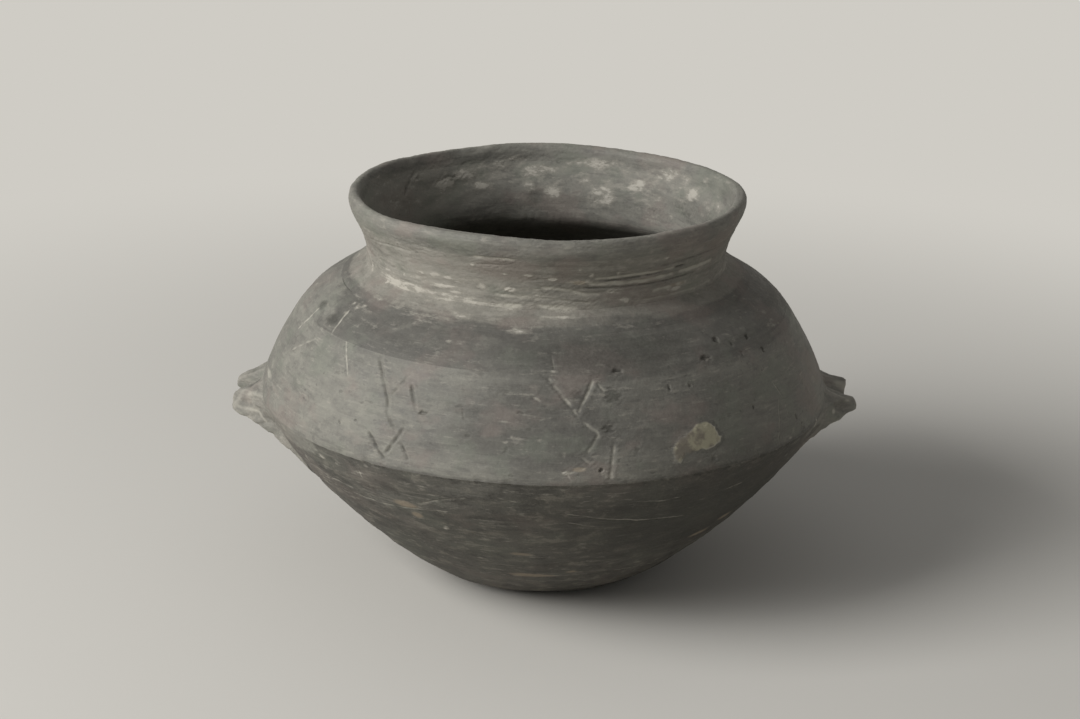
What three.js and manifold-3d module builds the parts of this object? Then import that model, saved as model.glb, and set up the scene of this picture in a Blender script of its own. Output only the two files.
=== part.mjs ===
// Hand-built black pottery jar with two horned lugs, millimetres, +Z up.
// The jar stands on its base at z = 0, its axis is the Z axis, and its front faces -Y.
// Each separately formed clay element is one mesh, luted to the next one along a bevelled seam.

import * as THREE from 'three';
import { mergeVertices } from 'three/addons/utils/BufferGeometryUtils.js';
import ManifoldModule from 'manifold-3d';

// Facets round the axis, and steps along each span of the wall

const TURN_FACETS = 60;
const SPAN_STEPS = [9, 5, 3, 3, 6];
const LIP_STEPS = 5;

// Outer wall, ring by ring from the foot up: how far each ring lies in from the one below it,
// or out for the lip, and its rise above that one

const FOOT_RADIUS = 38;
const CARINATION_RADIUS = 120;
const CARINATION_HEIGHT = 80;
const BELLY_SETBACK = 18.7;
const BELLY_RISE = 37.9;
const SHOULDER_SETBACK = 15.7;
const SHOULDER_RISE = 10.8;
const CROWN_SETBACK = 10;
const CROWN_RISE = 7;
const LIP_FLARE = 5.6;
const NECK_RISE = 20.8;

// Rim: how far the rolled lip swells beyond the neck, and its crest above and behind that

const ROLL_SWELL = 1.5;
const CREST_SETBACK = 1.3;
const CREST_RISE = 9.2;

// Thickness of the clay

const BASE_THICKNESS = 8;
const INNER_FOOT_SETBACK = 2;
const BODY_WALL = 5.8;
const SHOULDER_WALL = 5.4;
const NECK_WALL = 5.2;

// Luted joints: the bevel along the wall, the slip layer, and the edges that stand proud

const BEVEL_LENGTH = 5;
const SLIP_LAYER = 0.3;
const CARINATION_LEDGE = 0.8;
const CROWN_LEDGE = 0.6;

// Places of the two seams in the lower wall, as heights up the wall's curve from 0 to 1

const BASE_SEAM_SHARE = 0.17;
const COIL_SEAM_SHARE = 0.58;

// Lugs: a broad ledge with a horn at each end of its outer edge. Reaches are measured out
// from the carination, heights up from it, and spread and half widths sideways.

const LUG_ROOT_DEPTH = 16;
const LUG_HALF_WIDTH = 31;
const LUG_EDGE_HALF_WIDTH = 15.5;
const LUG_EDGE_ROUNDING = 1.6;
const HORN_SPREAD = 13;
const RIDGE_SPLAY = 2;
const HORN_THICKNESS = 5;
const FACE_BULGE = 1;
const LUG_SECTION_STEPS = 20;
const RIGHT_LUG = { front: 12.5, back: 11, tip: -3, top: 3, crest: -11.5, underside: -17.5 };
const LEFT_LUG = { front: 11.3, back: 12.5, tip: -6.8, top: 4, crest: -15, underside: -20 };

// The trough that a thumb pressed along the top of each lug, as far as a notch in its edge

const THUMB_RADIUS = 8;
const THUMB_LENGTH = 34;
const THUMB_DEPTH = 4.8;
const NOTCH_DEPTH = 4.5;

const radians = THREE.MathUtils.degToRad;
const point = (radius, height) => new THREE.Vector2(radius, height);
const direction = (degrees) => point(Math.cos(radians(degrees)), Math.sin(radians(degrees)));

// A point moved square to the wall: outward for a positive distance

function moved(place, degrees, distance) {
  const heading = direction(degrees);
  return point(place.x + heading.y * distance, place.y - heading.x * distance);
}

// One smooth span of a wall between two rings: its heading at each end, and how much of the
// straight distance between them it takes to leave that heading

function span(start, startHeading, startShare, end, endHeading, endShare) {
  const chord = start.distanceTo(end);
  const leave = start.clone().addScaledVector(direction(startHeading), startShare * chord);
  const arrive = end.clone().addScaledVector(direction(endHeading), -endShare * chord);
  return new THREE.CubicBezierCurve(start, leave, arrive, end);
}

// Outer wall

const carination = point(CARINATION_RADIUS, CARINATION_HEIGHT);
const bellyTop = point(carination.x - BELLY_SETBACK, carination.y + BELLY_RISE);
const crown = point(bellyTop.x - SHOULDER_SETBACK, bellyTop.y + SHOULDER_RISE);
const neck = point(crown.x - CROWN_SETBACK, crown.y + CROWN_RISE);
const lip = point(neck.x + LIP_FLARE, neck.y + NECK_RISE);
const underLedge = point(carination.x - CARINATION_LEDGE, carination.y);
const crownEdge = moved(crown, 146, CROWN_LEDGE);

const outer = [
  span(point(FOOT_RADIUS, 0), 6, 0.19, underLedge, 75, 0.21),
  span(carination, 90, 0.14, bellyTop, 130, 0.31),
  span(bellyTop, 130, 0.42, crown, 150, 0.32),
  span(crownEdge, 142, 0.33, neck, 142, 0.24),
  span(neck, 98, 0.42, lip, 66, 0.37),
];

// Inner wall: the same rings brought in by the thickness of the clay, smoothed across each ring

const innerFoot = point(FOOT_RADIUS - INNER_FOOT_SETBACK, BASE_THICKNESS);
const innerCarination = moved(carination, 83, -BODY_WALL);
const innerBellyTop = moved(bellyTop, 130, -BODY_WALL);
const innerCrown = moved(crown, 146, -SHOULDER_WALL);
const innerNeck = moved(neck, 121, -NECK_WALL);
const innerLip = moved(lip, 68, -NECK_WALL);

const inner = [
  span(innerFoot, 12, 0.17, innerCarination, 83, 0.24),
  span(innerCarination, 83, 0.21, innerBellyTop, 130, 0.32),
  span(innerBellyTop, 130, 0.34, innerCrown, 144, 0.29),
  span(innerCrown, 144, 0.34, innerNeck, 121, 0.28),
  span(innerNeck, 121, 0.23, innerLip, 68, 0.31),
];

// A place along a wall is a number: the span counted from 0 and the share of that span

function at(wall, place) {
  const index = Math.min(Math.floor(place), wall.length - 1);
  return wall[index].getPoint(place - index);
}

function trace(wall, from, to) {
  const places = [from];
  for (let index = Math.floor(from); index < to; index += 1) {
    for (let step = 0; step < SPAN_STEPS[index]; step += 1) {
      const place = index + step / SPAN_STEPS[index];
      const clear = 0.3 / SPAN_STEPS[index];
      if (place > from + clear && place < to - clear) places.push(place);
    }
  }
  return [...places.map((place) => at(wall, place)), endOf(wall, to)];
}

// The end of a piece is read on the span below a ring, so that a ledge there stays with the next piece

function endOf(wall, place) {
  const index = Math.ceil(place) - 1;
  return wall[index].getPoint(place - index);
}

// A bevelled seam: its outer end lies at a ring, and its inner end further up the wall.
// The piece below stops short of it by the slip layer, measured square to the seam.

function seam(place, bevel = BEVEL_LENGTH) {
  const rise = place < inner.length ? bevel / inner[Math.floor(place)].getLength() : 0;
  const outside = endOf(outer, place);
  const inside = endOf(inner, place + rise);
  const along = inside.clone().sub(outside).normalize();
  const stop = (wall, end) => {
    const curve = wall[Math.ceil(end) - 1];
    const heading = curve.getTangent(end - Math.ceil(end) + 1);
    return end - SLIP_LAYER / Math.abs(heading.cross(along)) / curve.getLength();
  };
  return {
    outside,
    outerStart: place,
    innerStart: place + rise,
    outerStop: stop(outer, place),
    innerStop: stop(inner, place + rise),
  };
}

const seams = {
  base: seam(BASE_SEAM_SHARE),
  coil: seam(COIL_SEAM_SHARE),
  carination: seam(1),
  bellyTop: seam(2),
  crown: seam(3),
  neck: seam(4),
  lip: seam(5),
};

// Profiles turned on the axis: outer side going up, inner side coming down

function withoutRepeats(points) {
  return points.filter((spot, index) => index === 0 || spot.distanceTo(points[index - 1]) > 0.05);
}

function bandProfile(below, above) {
  const outside = [below.outside, ...trace(outer, below.outerStart, above.outerStop)];
  const inside = trace(inner, below.innerStart, above.innerStop).reverse();
  return withoutRepeats([...outside, ...inside]);
}

function baseProfile() {
  const outside = [point(0, 0), ...trace(outer, 0, seams.base.outerStop)];
  const inside = trace(inner, 0, seams.base.innerStop).reverse();
  return [...outside, ...inside, point(0, BASE_THICKNESS)];
}

// The lip swells outward, rolls over its crest and comes down to the inner wall

function lipProfile() {
  const swell = lip.x + ROLL_SWELL;
  const crest = point(lip.x - CREST_SETBACK, lip.y + CREST_RISE);
  const innerSwell = (innerLip.x + crest.x) / 2 - ROLL_SWELL;
  const outerBend = [
    point(swell + ROLL_SWELL / 2, lip.y + CREST_RISE * 0.46),
    point(swell + ROLL_SWELL / 2, crest.y),
  ];
  const innerBend = [
    point(innerSwell, crest.y),
    point(innerSwell + ROLL_SWELL / 3, innerLip.y + (crest.y - innerLip.y) * 0.36),
  ];
  const over = new THREE.CubicBezierCurve(lip, ...outerBend, crest);
  const down = new THREE.CubicBezierCurve(crest, ...innerBend, innerLip);
  return [...over.getPoints(LIP_STEPS), ...down.getPoints(LIP_STEPS).slice(1)];
}

function turned(profile, closed = true) {
  const path = closed ? [...profile, profile[0]] : profile;
  const geometry = new THREE.LatheGeometry(path, TURN_FACETS);
  geometry.rotateX(Math.PI / 2);
  return solidMesh(geometry);
}

// One vertex for each corner, so that neighbouring faces share it

function solidMesh(geometry) {
  geometry.deleteAttribute('normal');
  geometry.deleteAttribute('uv');
  return mergeVertices(geometry, 1e-4);
}

// Joining and cutting of closed meshes

const manifold = await ManifoldModule();
manifold.setup();

function toManifold(geometry) {
  const mesh = new manifold.Mesh({
    numProp: 3,
    vertProperties: Float32Array.from(geometry.attributes.position.array),
    triVerts: Uint32Array.from(geometry.index.array),
  });
  return new manifold.Manifold(mesh);
}

function fromManifold(solid) {
  const mesh = solid.getMesh();
  const geometry = new THREE.BufferGeometry();
  geometry.setAttribute('position', new THREE.BufferAttribute(mesh.vertProperties, 3));
  geometry.setIndex(new THREE.BufferAttribute(mesh.triVerts, 1));
  return geometry;
}

// A closed skin over a row of rings, each with the same number of corners

function loft(rings) {
  const corners = rings[0].length;
  const vertices = rings.flat().flatMap((spot) => [spot.x, spot.y, spot.z]);
  const faces = [];
  for (let ring = 0; ring + 1 < rings.length; ring += 1) {
    for (let corner = 0; corner < corners; corner += 1) {
      const next = (corner + 1) % corners;
      const a = ring * corners + corner;
      const b = ring * corners + next;
      faces.push(a, b, b + corners, a, b + corners, a + corners);
    }
  }
  const last = (rings.length - 1) * corners;
  for (let corner = 1; corner + 1 < corners; corner += 1) {
    faces.push(0, corner + 1, corner, last, last + corner, last + corner + 1);
  }
  const geometry = new THREE.BufferGeometry();
  geometry.setAttribute('position', new THREE.Float32BufferAttribute(vertices, 3));
  geometry.setIndex(faces);
  return geometry;
}

// A lug is a row of rounded sections from inside the wall to its blunt outer edge.
// Each is flat below, has a crest low on each side and a ridge over each horn.

const rootRadius = CARINATION_RADIUS - LUG_ROOT_DEPTH;
const wallRadius = CARINATION_RADIUS - LUG_ROOT_DEPTH / 2;
const rise = (height) => CARINATION_HEIGHT + height;

function ledge({ front, back, tip, top, crest, underside }) {
  const mix = (atWall, atTip, along) => atTip + (atWall - atTip) * along;
  const lean = (back - front) / (2 * HORN_SPREAD);
  const rings = [0, 0.3, 0.5, 0.7, 0.85, 0.94, 1].map((share) => {
    const edge = CARINATION_RADIUS + front;
    const along = (1 - share) * ((edge - rootRadius) / (edge - wallRadius));
    const half = HORN_THICKNESS * (share < 1 ? 0.5 : 0.22);
    const tipWidth = LUG_EDGE_HALF_WIDTH - (share < 1 ? 0 : LUG_EDGE_ROUNDING);
    const side = mix(LUG_HALF_WIDTH, tipWidth, along);
    const ridge = point(HORN_SPREAD + RIDGE_SPLAY * along, rise(mix(top, tip + half, along)));
    const low = point(side, rise(mix(crest, tip - half * 0.6, along)));
    const below = rise(mix(underside, tip - half, along));
    return sectionOutline(ridge, low, below).map(([y, z]) => {
      const reach = CARINATION_RADIUS + (front + back) / 2 + lean * y;
      return new THREE.Vector3(rootRadius + (reach - rootRadius) * share, y, z);
    });
  });
  return toManifold(loft(rings));
}

function sectionOutline(ridge, low, below) {
  const half = [
    [low.x * 0.55, below + (low.y - below) * 0.15],
    [low.x * 0.88, below + (low.y - below) * 0.55],
    [low.x, low.y + (ridge.y - low.y) * 0.12],
    [(low.x + ridge.x) / 2 + FACE_BULGE, (low.y + ridge.y) / 2 + FACE_BULGE],
    [ridge.x, ridge.y],
  ];
  const saddle = [0, ridge.y - FACE_BULGE / 2];
  const mirrored = half.map(([y, z]) => [-y, z]).reverse();
  const corners = [[0, below], ...half, saddle, ...mirrored];
  const curve = new THREE.CatmullRomCurve3(
    corners.map(([y, z]) => new THREE.Vector3(0, y, z)),
    true,
  );
  return curve.getPoints(LUG_SECTION_STEPS).slice(1).map((spot) => [spot.y, spot.z]);
}

// The thumb's mark follows the slope of the lug's top and comes out through its edge

function thumb({ front, back, tip, top }) {
  const edge = CARINATION_RADIUS + (front + back) / 2;
  const start = new THREE.Vector3(CARINATION_RADIUS, 0, rise(top - THUMB_DEPTH / 2));
  const end = new THREE.Vector3(edge - NOTCH_DEPTH, 0, rise(tip - THUMB_DEPTH / 4));
  const heading = end.clone().sub(start).normalize();
  const lift = new THREE.Vector3(-heading.z, 0, heading.x).multiplyScalar(THUMB_RADIUS);
  const geometry = new THREE.CapsuleGeometry(THUMB_RADIUS, THUMB_LENGTH, 4, 16);
  geometry.applyQuaternion(
    new THREE.Quaternion().setFromUnitVectors(new THREE.Vector3(0, 1, 0), heading),
  );
  const middle = start.clone().addScaledVector(heading, THUMB_LENGTH / 2).add(lift);
  geometry.translate(middle.x, middle.y, middle.z);
  return toManifold(solidMesh(geometry));
}

// The jar's outside, larger by the slip layer, which shapes the back of each lug

function wallCutter() {
  const grown = [...trace(outer, 0.5, 1), ...trace(outer, 1, 1.8)].map((spot) => point(
    spot.x + SLIP_LAYER,
    spot.y,
  ));
  const profile = [point(0, grown[0].y), ...grown, point(0, grown.at(-1).y)];
  return toManifold(turned(withoutRepeats(profile), false));
}

// Half a turn about the axis changes a lug's front horn for its back one

const turnedRound = (lug) => ({ ...lug, front: lug.back, back: lug.front });

function lugGeometry(lug) {
  return fromManifold(ledge(lug).subtract(thumb(lug)).subtract(wallCutter()));
}

// Materials: reduced black ware, greyer where it is rubbed and paler under lime

function pottery(name, colour, roughness) {
  return new THREE.MeshStandardMaterial({ name, color: colour, roughness, metalness: 0 });
}

const smokedWare = pottery('smoked_black_ware', '#55524c', 0.78);
const rubbedWare = pottery('rubbed_grey_ware', '#85827a', 0.72);
const darkBand = pottery('dark_shoulder_ware', '#5f5c57', 0.74);
const limedWare = pottery('limed_ware', '#9a968c', 0.85);

function element(name, geometry, material, turn = 0) {
  geometry.computeVertexNormals();
  const mesh = new THREE.Mesh(geometry, material);
  mesh.name = name;
  mesh.rotation.z = turn;
  return mesh;
}

// The jar

const jar = new THREE.Group();
jar.name = 'black_pottery_jar';

const bowl = new THREE.Group();
bowl.name = 'lower_body';
bowl.add(
  element('base_disc', turned(baseProfile(), false), smokedWare),
  element('lower_wall_coil_1', turned(bandProfile(seams.base, seams.coil)), smokedWare),
  element('lower_wall_coil_2', turned(bandProfile(seams.coil, seams.carination)), smokedWare),
);

const upper = new THREE.Group();
upper.name = 'upper_body';
upper.add(
  element('belly_band', turned(bandProfile(seams.carination, seams.bellyTop)), rubbedWare),
  element('shoulder_band', turned(bandProfile(seams.bellyTop, seams.crown)), darkBand),
  element('shoulder_crown', turned(bandProfile(seams.crown, seams.neck)), limedWare),
  element('neck_collar', turned(bandProfile(seams.neck, seams.lip)), limedWare),
  element('rim_lip', turned(lipProfile()), rubbedWare),
);

const lugs = new THREE.Group();
lugs.name = 'lugs';
lugs.add(
  element('lug_right', lugGeometry(RIGHT_LUG), rubbedWare),
  element('lug_left', lugGeometry(turnedRound(LEFT_LUG)), rubbedWare, Math.PI),
);

jar.add(bowl, upper, lugs);

export default jar;
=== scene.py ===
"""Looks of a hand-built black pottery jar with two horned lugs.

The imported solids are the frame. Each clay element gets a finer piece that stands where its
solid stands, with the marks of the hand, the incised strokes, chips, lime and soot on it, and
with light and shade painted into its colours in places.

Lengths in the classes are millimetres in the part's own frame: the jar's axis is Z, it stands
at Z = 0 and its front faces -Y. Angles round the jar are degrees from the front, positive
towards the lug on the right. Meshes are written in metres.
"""

import logging
import math
from dataclasses import dataclass, field
from enum import Enum
from functools import cached_property
from typing import Any

import bmesh
import bpy
import numpy as np
from mathutils import Matrix, Vector

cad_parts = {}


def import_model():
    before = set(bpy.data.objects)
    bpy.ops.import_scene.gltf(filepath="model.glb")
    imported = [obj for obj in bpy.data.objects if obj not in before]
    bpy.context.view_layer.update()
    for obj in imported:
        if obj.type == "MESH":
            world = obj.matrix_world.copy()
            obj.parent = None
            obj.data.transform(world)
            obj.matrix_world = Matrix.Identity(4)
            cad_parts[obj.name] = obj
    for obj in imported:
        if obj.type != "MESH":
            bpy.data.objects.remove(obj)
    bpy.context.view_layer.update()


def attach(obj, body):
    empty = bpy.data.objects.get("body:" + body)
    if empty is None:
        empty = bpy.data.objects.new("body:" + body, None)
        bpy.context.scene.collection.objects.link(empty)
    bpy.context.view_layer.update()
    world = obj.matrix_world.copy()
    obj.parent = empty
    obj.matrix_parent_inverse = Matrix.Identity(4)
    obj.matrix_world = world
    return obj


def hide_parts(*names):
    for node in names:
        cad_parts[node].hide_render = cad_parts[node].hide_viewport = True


LOG = logging.getLogger("jar")

MM = 0.001
TINY = 1e-6
TURN_STEPS = 720
# Degrees between two faces from which their edge is sharp
SHARP_ANGLE = 48.0
# Millimetres within which two rings, and two rows, count as one
SAME_RING = 0.05
SAME_ROW = 1e-3
# Change of skin across a face that ends the smooth shading
HARD_STEP = 0.9
BODY = "root"
ROW_LAYERS = ("radius", "height", "normal_r", "normal_z", "skin")
# Colour layers of the marks; the lighter and darker ones also carry painted light and shade in
# places
MARK_LAYERS = ("pale", "dark", "lime", "ochre", "crust", "wear_and_light", "rubbed", "smoke_and_shade", "scraped")

Path = tuple[tuple[float, float], ...]
Point = tuple[float, float, float]
Layers = dict[str, np.ndarray]
Socket = bpy.types.NodeSocket


class Skin(Enum):
    """Which side of the wall a row of a profile lies on."""

    OUTSIDE = 1.0
    INSIDE = -1.0


class Slot(Enum):
    """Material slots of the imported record."""

    SMOKED = "smoked_ware"
    RUBBED = "rubbed_ware"
    DARK_BAND = "dark_band_ware"
    LIMED = "limed_ware"


# ---------------------------------------------------------------------------------------------
# Small helpers


def linear(colour: str) -> tuple[float, float, float, float]:
    """Turn an sRGB hex colour to the linear values that shaders take.

    Args:
        colour: Six hex digits after a hash sign.

    Returns:
        Linear red, green and blue, and an alpha of 1.
    """
    values = [int(colour[i:i + 2], 16) / 255 for i in (1, 3, 5)]
    red, green, blue = (v / 12.92 if v <= 0.04045 else ((v + 0.055) / 1.055) ** 2.4
                        for v in values)
    return red, green, blue, 1.0


def ramp(values: np.ndarray, low: float, high: float) -> np.ndarray:
    """Rise smoothly from 0 at low to 1 at high.

    Args:
        values: Numbers to place on the ramp.
        low: Where the ramp leaves 0.
        high: Where it reaches 1.

    Returns:
        One share for each value.
    """
    share = np.clip((values - low) / (high - low), 0, 1)
    return share * share * (3 - 2 * share)


def smooth_max(first: np.ndarray, second: np.ndarray, blend: float) -> np.ndarray:
    """Take the larger of two distances, rounded where they meet.

    Args:
        first: Distances to one form.
        second: Distances to the other.
        blend: How wide the rounding is, in the unit of the distances.

    Returns:
        The joined distances.
    """
    share = np.clip(0.5 + 0.5 * (first - second) / blend, 0, 1)
    return second + (first - second) * share + blend * share * (1 - share)


def smooth_min(first: np.ndarray, second: np.ndarray, blend: float) -> np.ndarray:
    """Take the smaller of two distances, filleted where they meet.

    Args:
        first: Distances to one form.
        second: Distances to the other.
        blend: How wide the fillet is, in the unit of the distances.

    Returns:
        The joined distances.
    """
    return -smooth_max(-first, -second, blend)


def on_jar(angle: np.ndarray, radius: np.ndarray, height: np.ndarray) -> np.ndarray:
    """Place points by angle, radius and height.

    Args:
        angle: Degrees from the front.
        radius: Distances from the axis.
        height: Distances above the floor.

    Returns:
        One row of X, Y and Z for each point.
    """
    turn = np.radians(angle)
    return np.stack([radius * np.sin(turn), -radius * np.cos(turn), height], axis=-1)


def to_segment(points: np.ndarray, start: tuple[float, ...], end: tuple[float, ...]) -> np.ndarray:
    """Measure how far points are from a straight stretch.

    Args:
        points: Places, one row each.
        start: One end of the stretch.
        end: Its other end.

    Returns:
        One distance for each point.
    """
    origin, along = np.array(start), np.array(end) - np.array(start)
    share = np.clip((points - origin) @ along / (along @ along), 0, 1)
    return np.linalg.norm(points - origin - share[:, None] * along, axis=1)


def bezier(controls: np.ndarray, shares: np.ndarray) -> tuple[np.ndarray, np.ndarray]:
    """Find points and headings along a curve with four control points.

    Args:
        controls: The control points, one row each.
        shares: Places on the curve, from 0 to 1.

    Returns:
        Points and unit headings, one row each.
    """
    t = np.asarray(shares, float)[:, None]
    a, b, c, d = controls
    points = (1 - t) ** 3 * a + 3 * (1 - t) ** 2 * t * b + 3 * (1 - t) * t ** 2 * c + t ** 3 * d
    heading = (1 - t) ** 2 * (b - a) + 2 * (1 - t) * t * (c - b) + t ** 2 * (d - c)
    return points, heading / np.linalg.norm(heading, axis=1, keepdims=True)


def lift(layers: Layers, name: str, shares: np.ndarray) -> None:
    """Raise a colour layer to at least the given shares."""
    np.maximum(layers[name], shares, out=layers[name])


def write_marks(bm: bmesh.types.BMesh, marks: Layers) -> None:
    """Give the vertices a float layer for each of the colour layers.

    Args:
        bm: Mesh whose vertices are in the same order as the marks.
        marks: Values of each colour layer.
    """
    added = [bm.verts.layers.float.new(name) for name in MARK_LAYERS]
    table = np.stack([marks[name] for name in MARK_LAYERS], axis=1)
    for vert, values in zip(bm.verts, table.tolist()):
        for layer, value in zip(added, values):
            vert[layer] = value


# ---------------------------------------------------------------------------------------------
# The wall in section


@dataclass(frozen=True)
class Span:
    """One smooth stretch of a wall between two rings, with its heading at each end."""

    start: tuple[float, float]
    leave_heading: float
    leave_share: float
    end: tuple[float, float]
    arrive_heading: float
    arrive_share: float

    @cached_property
    def controls(self) -> np.ndarray:
        """Four control points of the curve."""
        start, end = np.array(self.start), np.array(self.end)
        chord = np.linalg.norm(end - start)
        leave, arrive = math.radians(self.leave_heading), math.radians(self.arrive_heading)
        out = start + self.leave_share * chord * np.array([math.cos(leave), math.sin(leave)])
        back = end - self.arrive_share * chord * np.array([math.cos(arrive), math.sin(arrive)])
        return np.array([start, out, back, end])

    @cached_property
    def length(self) -> float:
        """Length along the curve."""
        points, _ = self.at(np.linspace(0, 1, 101))
        return float(np.linalg.norm(np.diff(points, axis=0), axis=1).sum())

    def at(self, shares: np.ndarray) -> tuple[np.ndarray, np.ndarray]:
        """Points and unit headings at shares of the curve."""
        return bezier(self.controls, shares)


def moved(place: tuple[float, float], heading: float, distance: float) -> tuple[float, float]:
    """Move a point square to a heading.

    Args:
        place: Radius and height.
        heading: Degrees, 90 being straight up.
        distance: How far out.

    Returns:
        The new radius and height.
    """
    turn = math.radians(heading)
    return place[0] + math.sin(turn) * distance, place[1] - math.cos(turn) * distance


@dataclass(frozen=True)
class Wall:
    """The jar's wall: the same rings, spans and seams as the solids have."""

    foot_radius: float = 38.0
    carination_radius: float = 120.0
    carination_height: float = 80.0
    belly_setback: float = 18.7
    belly_rise: float = 37.9
    shoulder_setback: float = 15.7
    shoulder_rise: float = 10.8
    crown_setback: float = 10.0
    crown_rise: float = 7.0
    lip_flare: float = 5.6
    neck_rise: float = 20.8
    roll_swell: float = 1.5
    crest_setback: float = 1.3
    crest_rise: float = 9.2
    base_thickness: float = 8.0
    inner_foot_setback: float = 2.0
    body_wall: float = 5.8
    shoulder_wall: float = 5.4
    neck_wall: float = 5.2
    bevel_length: float = 5.0
    carination_ledge: float = 0.8
    crown_ledge: float = 0.6

    @cached_property
    def carination(self) -> tuple[float, float]:
        """Widest ring, where the belly meets the lower wall."""
        return self.carination_radius, self.carination_height

    @cached_property
    def under_ledge(self) -> tuple[float, float]:
        """Top of the lower wall, a little behind the belly's edge."""
        return self.carination_radius - self.carination_ledge, self.carination_height

    @cached_property
    def belly_top(self) -> tuple[float, float]:
        """Ring between belly and shoulder."""
        return self.carination[0] - self.belly_setback, self.carination[1] + self.belly_rise

    @cached_property
    def crown(self) -> tuple[float, float]:
        """Ring between shoulder and crown."""
        return self.belly_top[0] - self.shoulder_setback, self.belly_top[1] + self.shoulder_rise

    @cached_property
    def neck(self) -> tuple[float, float]:
        """Narrowest ring, at the root of the neck."""
        return self.crown[0] - self.crown_setback, self.crown[1] + self.crown_rise

    @cached_property
    def lip(self) -> tuple[float, float]:
        """Ring under the rolled lip."""
        return self.neck[0] + self.lip_flare, self.neck[1] + self.neck_rise

    @cached_property
    def outer(self) -> tuple[Span, ...]:
        """Outer wall, from the foot up."""
        return (
            Span((self.foot_radius, 0.0), 6, 0.19, self.under_ledge, 75, 0.21),
            Span(self.carination, 90, 0.14, self.belly_top, 130, 0.31),
            Span(self.belly_top, 130, 0.42, self.crown, 150, 0.32),
            Span(moved(self.crown, 146, self.crown_ledge), 142, 0.33, self.neck, 142, 0.24),
            Span(self.neck, 98, 0.42, self.lip, 66, 0.37),
        )

    @cached_property
    def inner(self) -> tuple[Span, ...]:
        """Inner wall, from the floor of the jar up."""
        foot = (self.foot_radius - self.inner_foot_setback, self.base_thickness)
        carination = moved(self.carination, 83, -self.body_wall)
        belly_top = moved(self.belly_top, 130, -self.body_wall)
        crown = moved(self.crown, 146, -self.shoulder_wall)
        neck = moved(self.neck, 121, -self.neck_wall)
        return (
            Span(foot, 12, 0.17, carination, 83, 0.24),
            Span(carination, 83, 0.21, belly_top, 130, 0.32),
            Span(belly_top, 130, 0.34, crown, 144, 0.29),
            Span(crown, 144, 0.34, neck, 121, 0.28),
            Span(neck, 121, 0.23, moved(self.lip, 68, -self.neck_wall), 68, 0.31),
        )

    @cached_property
    def outline(self) -> np.ndarray:
        """Radius, height and outward normal up the outer wall, closely spaced."""
        rows = [self.rows(Skin.OUTSIDE, place, place + 1, 0.25) for place in range(5)]
        return np.vstack(rows)[:, :4]

    def radius_at(self, height: np.ndarray) -> np.ndarray:
        """Radius of the outer wall at each height."""
        return np.interp(height, self.outline[:, 1], self.outline[:, 0])

    def normal_at(self, height: np.ndarray) -> np.ndarray:
        """Outward normal of the outer wall at each height, as radial and upright shares."""
        rows = self.outline
        normal = np.stack([np.interp(height, rows[:, 1], rows[:, i]) for i in (2, 3)], axis=-1)
        return normal / np.linalg.norm(normal, axis=-1, keepdims=True)

    def rows(self, skin: Skin, start: float, end: float, spacing: float) -> np.ndarray:
        """Trace one side of the wall.

        Args:
            skin: The side of the wall.
            start: First place: the span counted from 0 and the share of that span.
            end: Last place, further up.
            spacing: Largest distance between rows.

        Returns:
            One row for each point, in the order of ROW_LAYERS.
        """
        spans = self.outer if skin is Skin.OUTSIDE else self.inner
        pieces: list[np.ndarray] = []
        place = start
        while place < end - TINY:
            index = int(place + TINY)
            stop = min(index + 1, end)
            span = spans[index]
            count = max(1, math.ceil(span.length * (stop - place) / spacing))
            points, heading = span.at(np.linspace(place - index, stop - index, count + 1))
            self._soften_corner(heading, place, stop, spans)
            normal = np.stack([heading[:, 1], -heading[:, 0]], axis=1) * skin.value
            side = np.full((len(points), 1), skin.value)
            piece = np.hstack([points, normal, side])
            pieces.append(piece[1:] if pieces and skin is Skin.INSIDE else piece)
            place = stop
        return np.vstack(pieces)

    @staticmethod
    def _soften_corner(heading: np.ndarray, place: float, stop: float,
                       spans: tuple[Span, ...]) -> None:
        """Give both sides of a corner between two spans the same heading, halfway."""
        own = int(place + TINY)
        for row, seam, index in ((0, place, own - 1), (-1, stop, int(stop + TINY))):
            if abs(seam - round(seam)) > TINY or not 0 <= index < len(spans) or seam < 0.5:
                continue
            other, side = (spans[index].end, 1.0) if row == 0 else (spans[index].start, 0.0)
            mine = spans[own].start if row == 0 else spans[own].end
            if math.dist(other, mine) < SAME_RING:
                mean = heading[row] + spans[index].at(np.array([side]))[1][0]
                heading[row] = mean / np.linalg.norm(mean)

    def inner_place(self, place: float) -> float:
        """Place of a bevelled seam's inner end, further up the wall than its outer end."""
        if place >= len(self.inner):
            return place
        return place + self.bevel_length / self.inner[int(place)].length


# ---------------------------------------------------------------------------------------------
# Marks of hand, tool, use and burial, and painted light and shade


@dataclass(frozen=True)
class Ripple:
    """A smooth unevenness, of about one length round the jar and another up it."""

    across: float
    upward: float
    height: float
    seed: int
    waves: int = 14

    def at(self, points: np.ndarray) -> np.ndarray:
        """Height of the unevenness at each point, mostly within twice its set height."""
        rng = np.random.default_rng(self.seed)
        turn, phase = rng.uniform(0, 2 * math.pi, (2, self.waves))
        flat = 2 * math.pi / self.across * rng.uniform(0.6, 1.5, self.waves)
        upright = 2 * math.pi / self.upward * rng.uniform(0.6, 1.5, self.waves)
        upright *= rng.choice([-1, 1], self.waves)
        waves = np.stack([flat * np.cos(turn), flat * np.sin(turn), upright])
        total = np.sin(points @ waves + phase).sum(axis=1)
        return self.height * total / math.sqrt(self.waves / 2)


@dataclass(frozen=True)
class Stroke:
    """A line cut or scratched in the surface, along angles and heights."""

    path: Path
    width: float = 1.1
    depth: float = 0.5
    pale: float = 0.0
    # Darkening along the line: soot in some strokes, painted shade in the grooves of others
    dark: float = 0.0
    sway: float = 0.12


@dataclass(frozen=True)
class Pit:
    """A small chip or hole, or a sunken blot."""

    angle: float
    height: float
    across: float
    tall: float
    depth: float
    dark: float = 0.7


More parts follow.
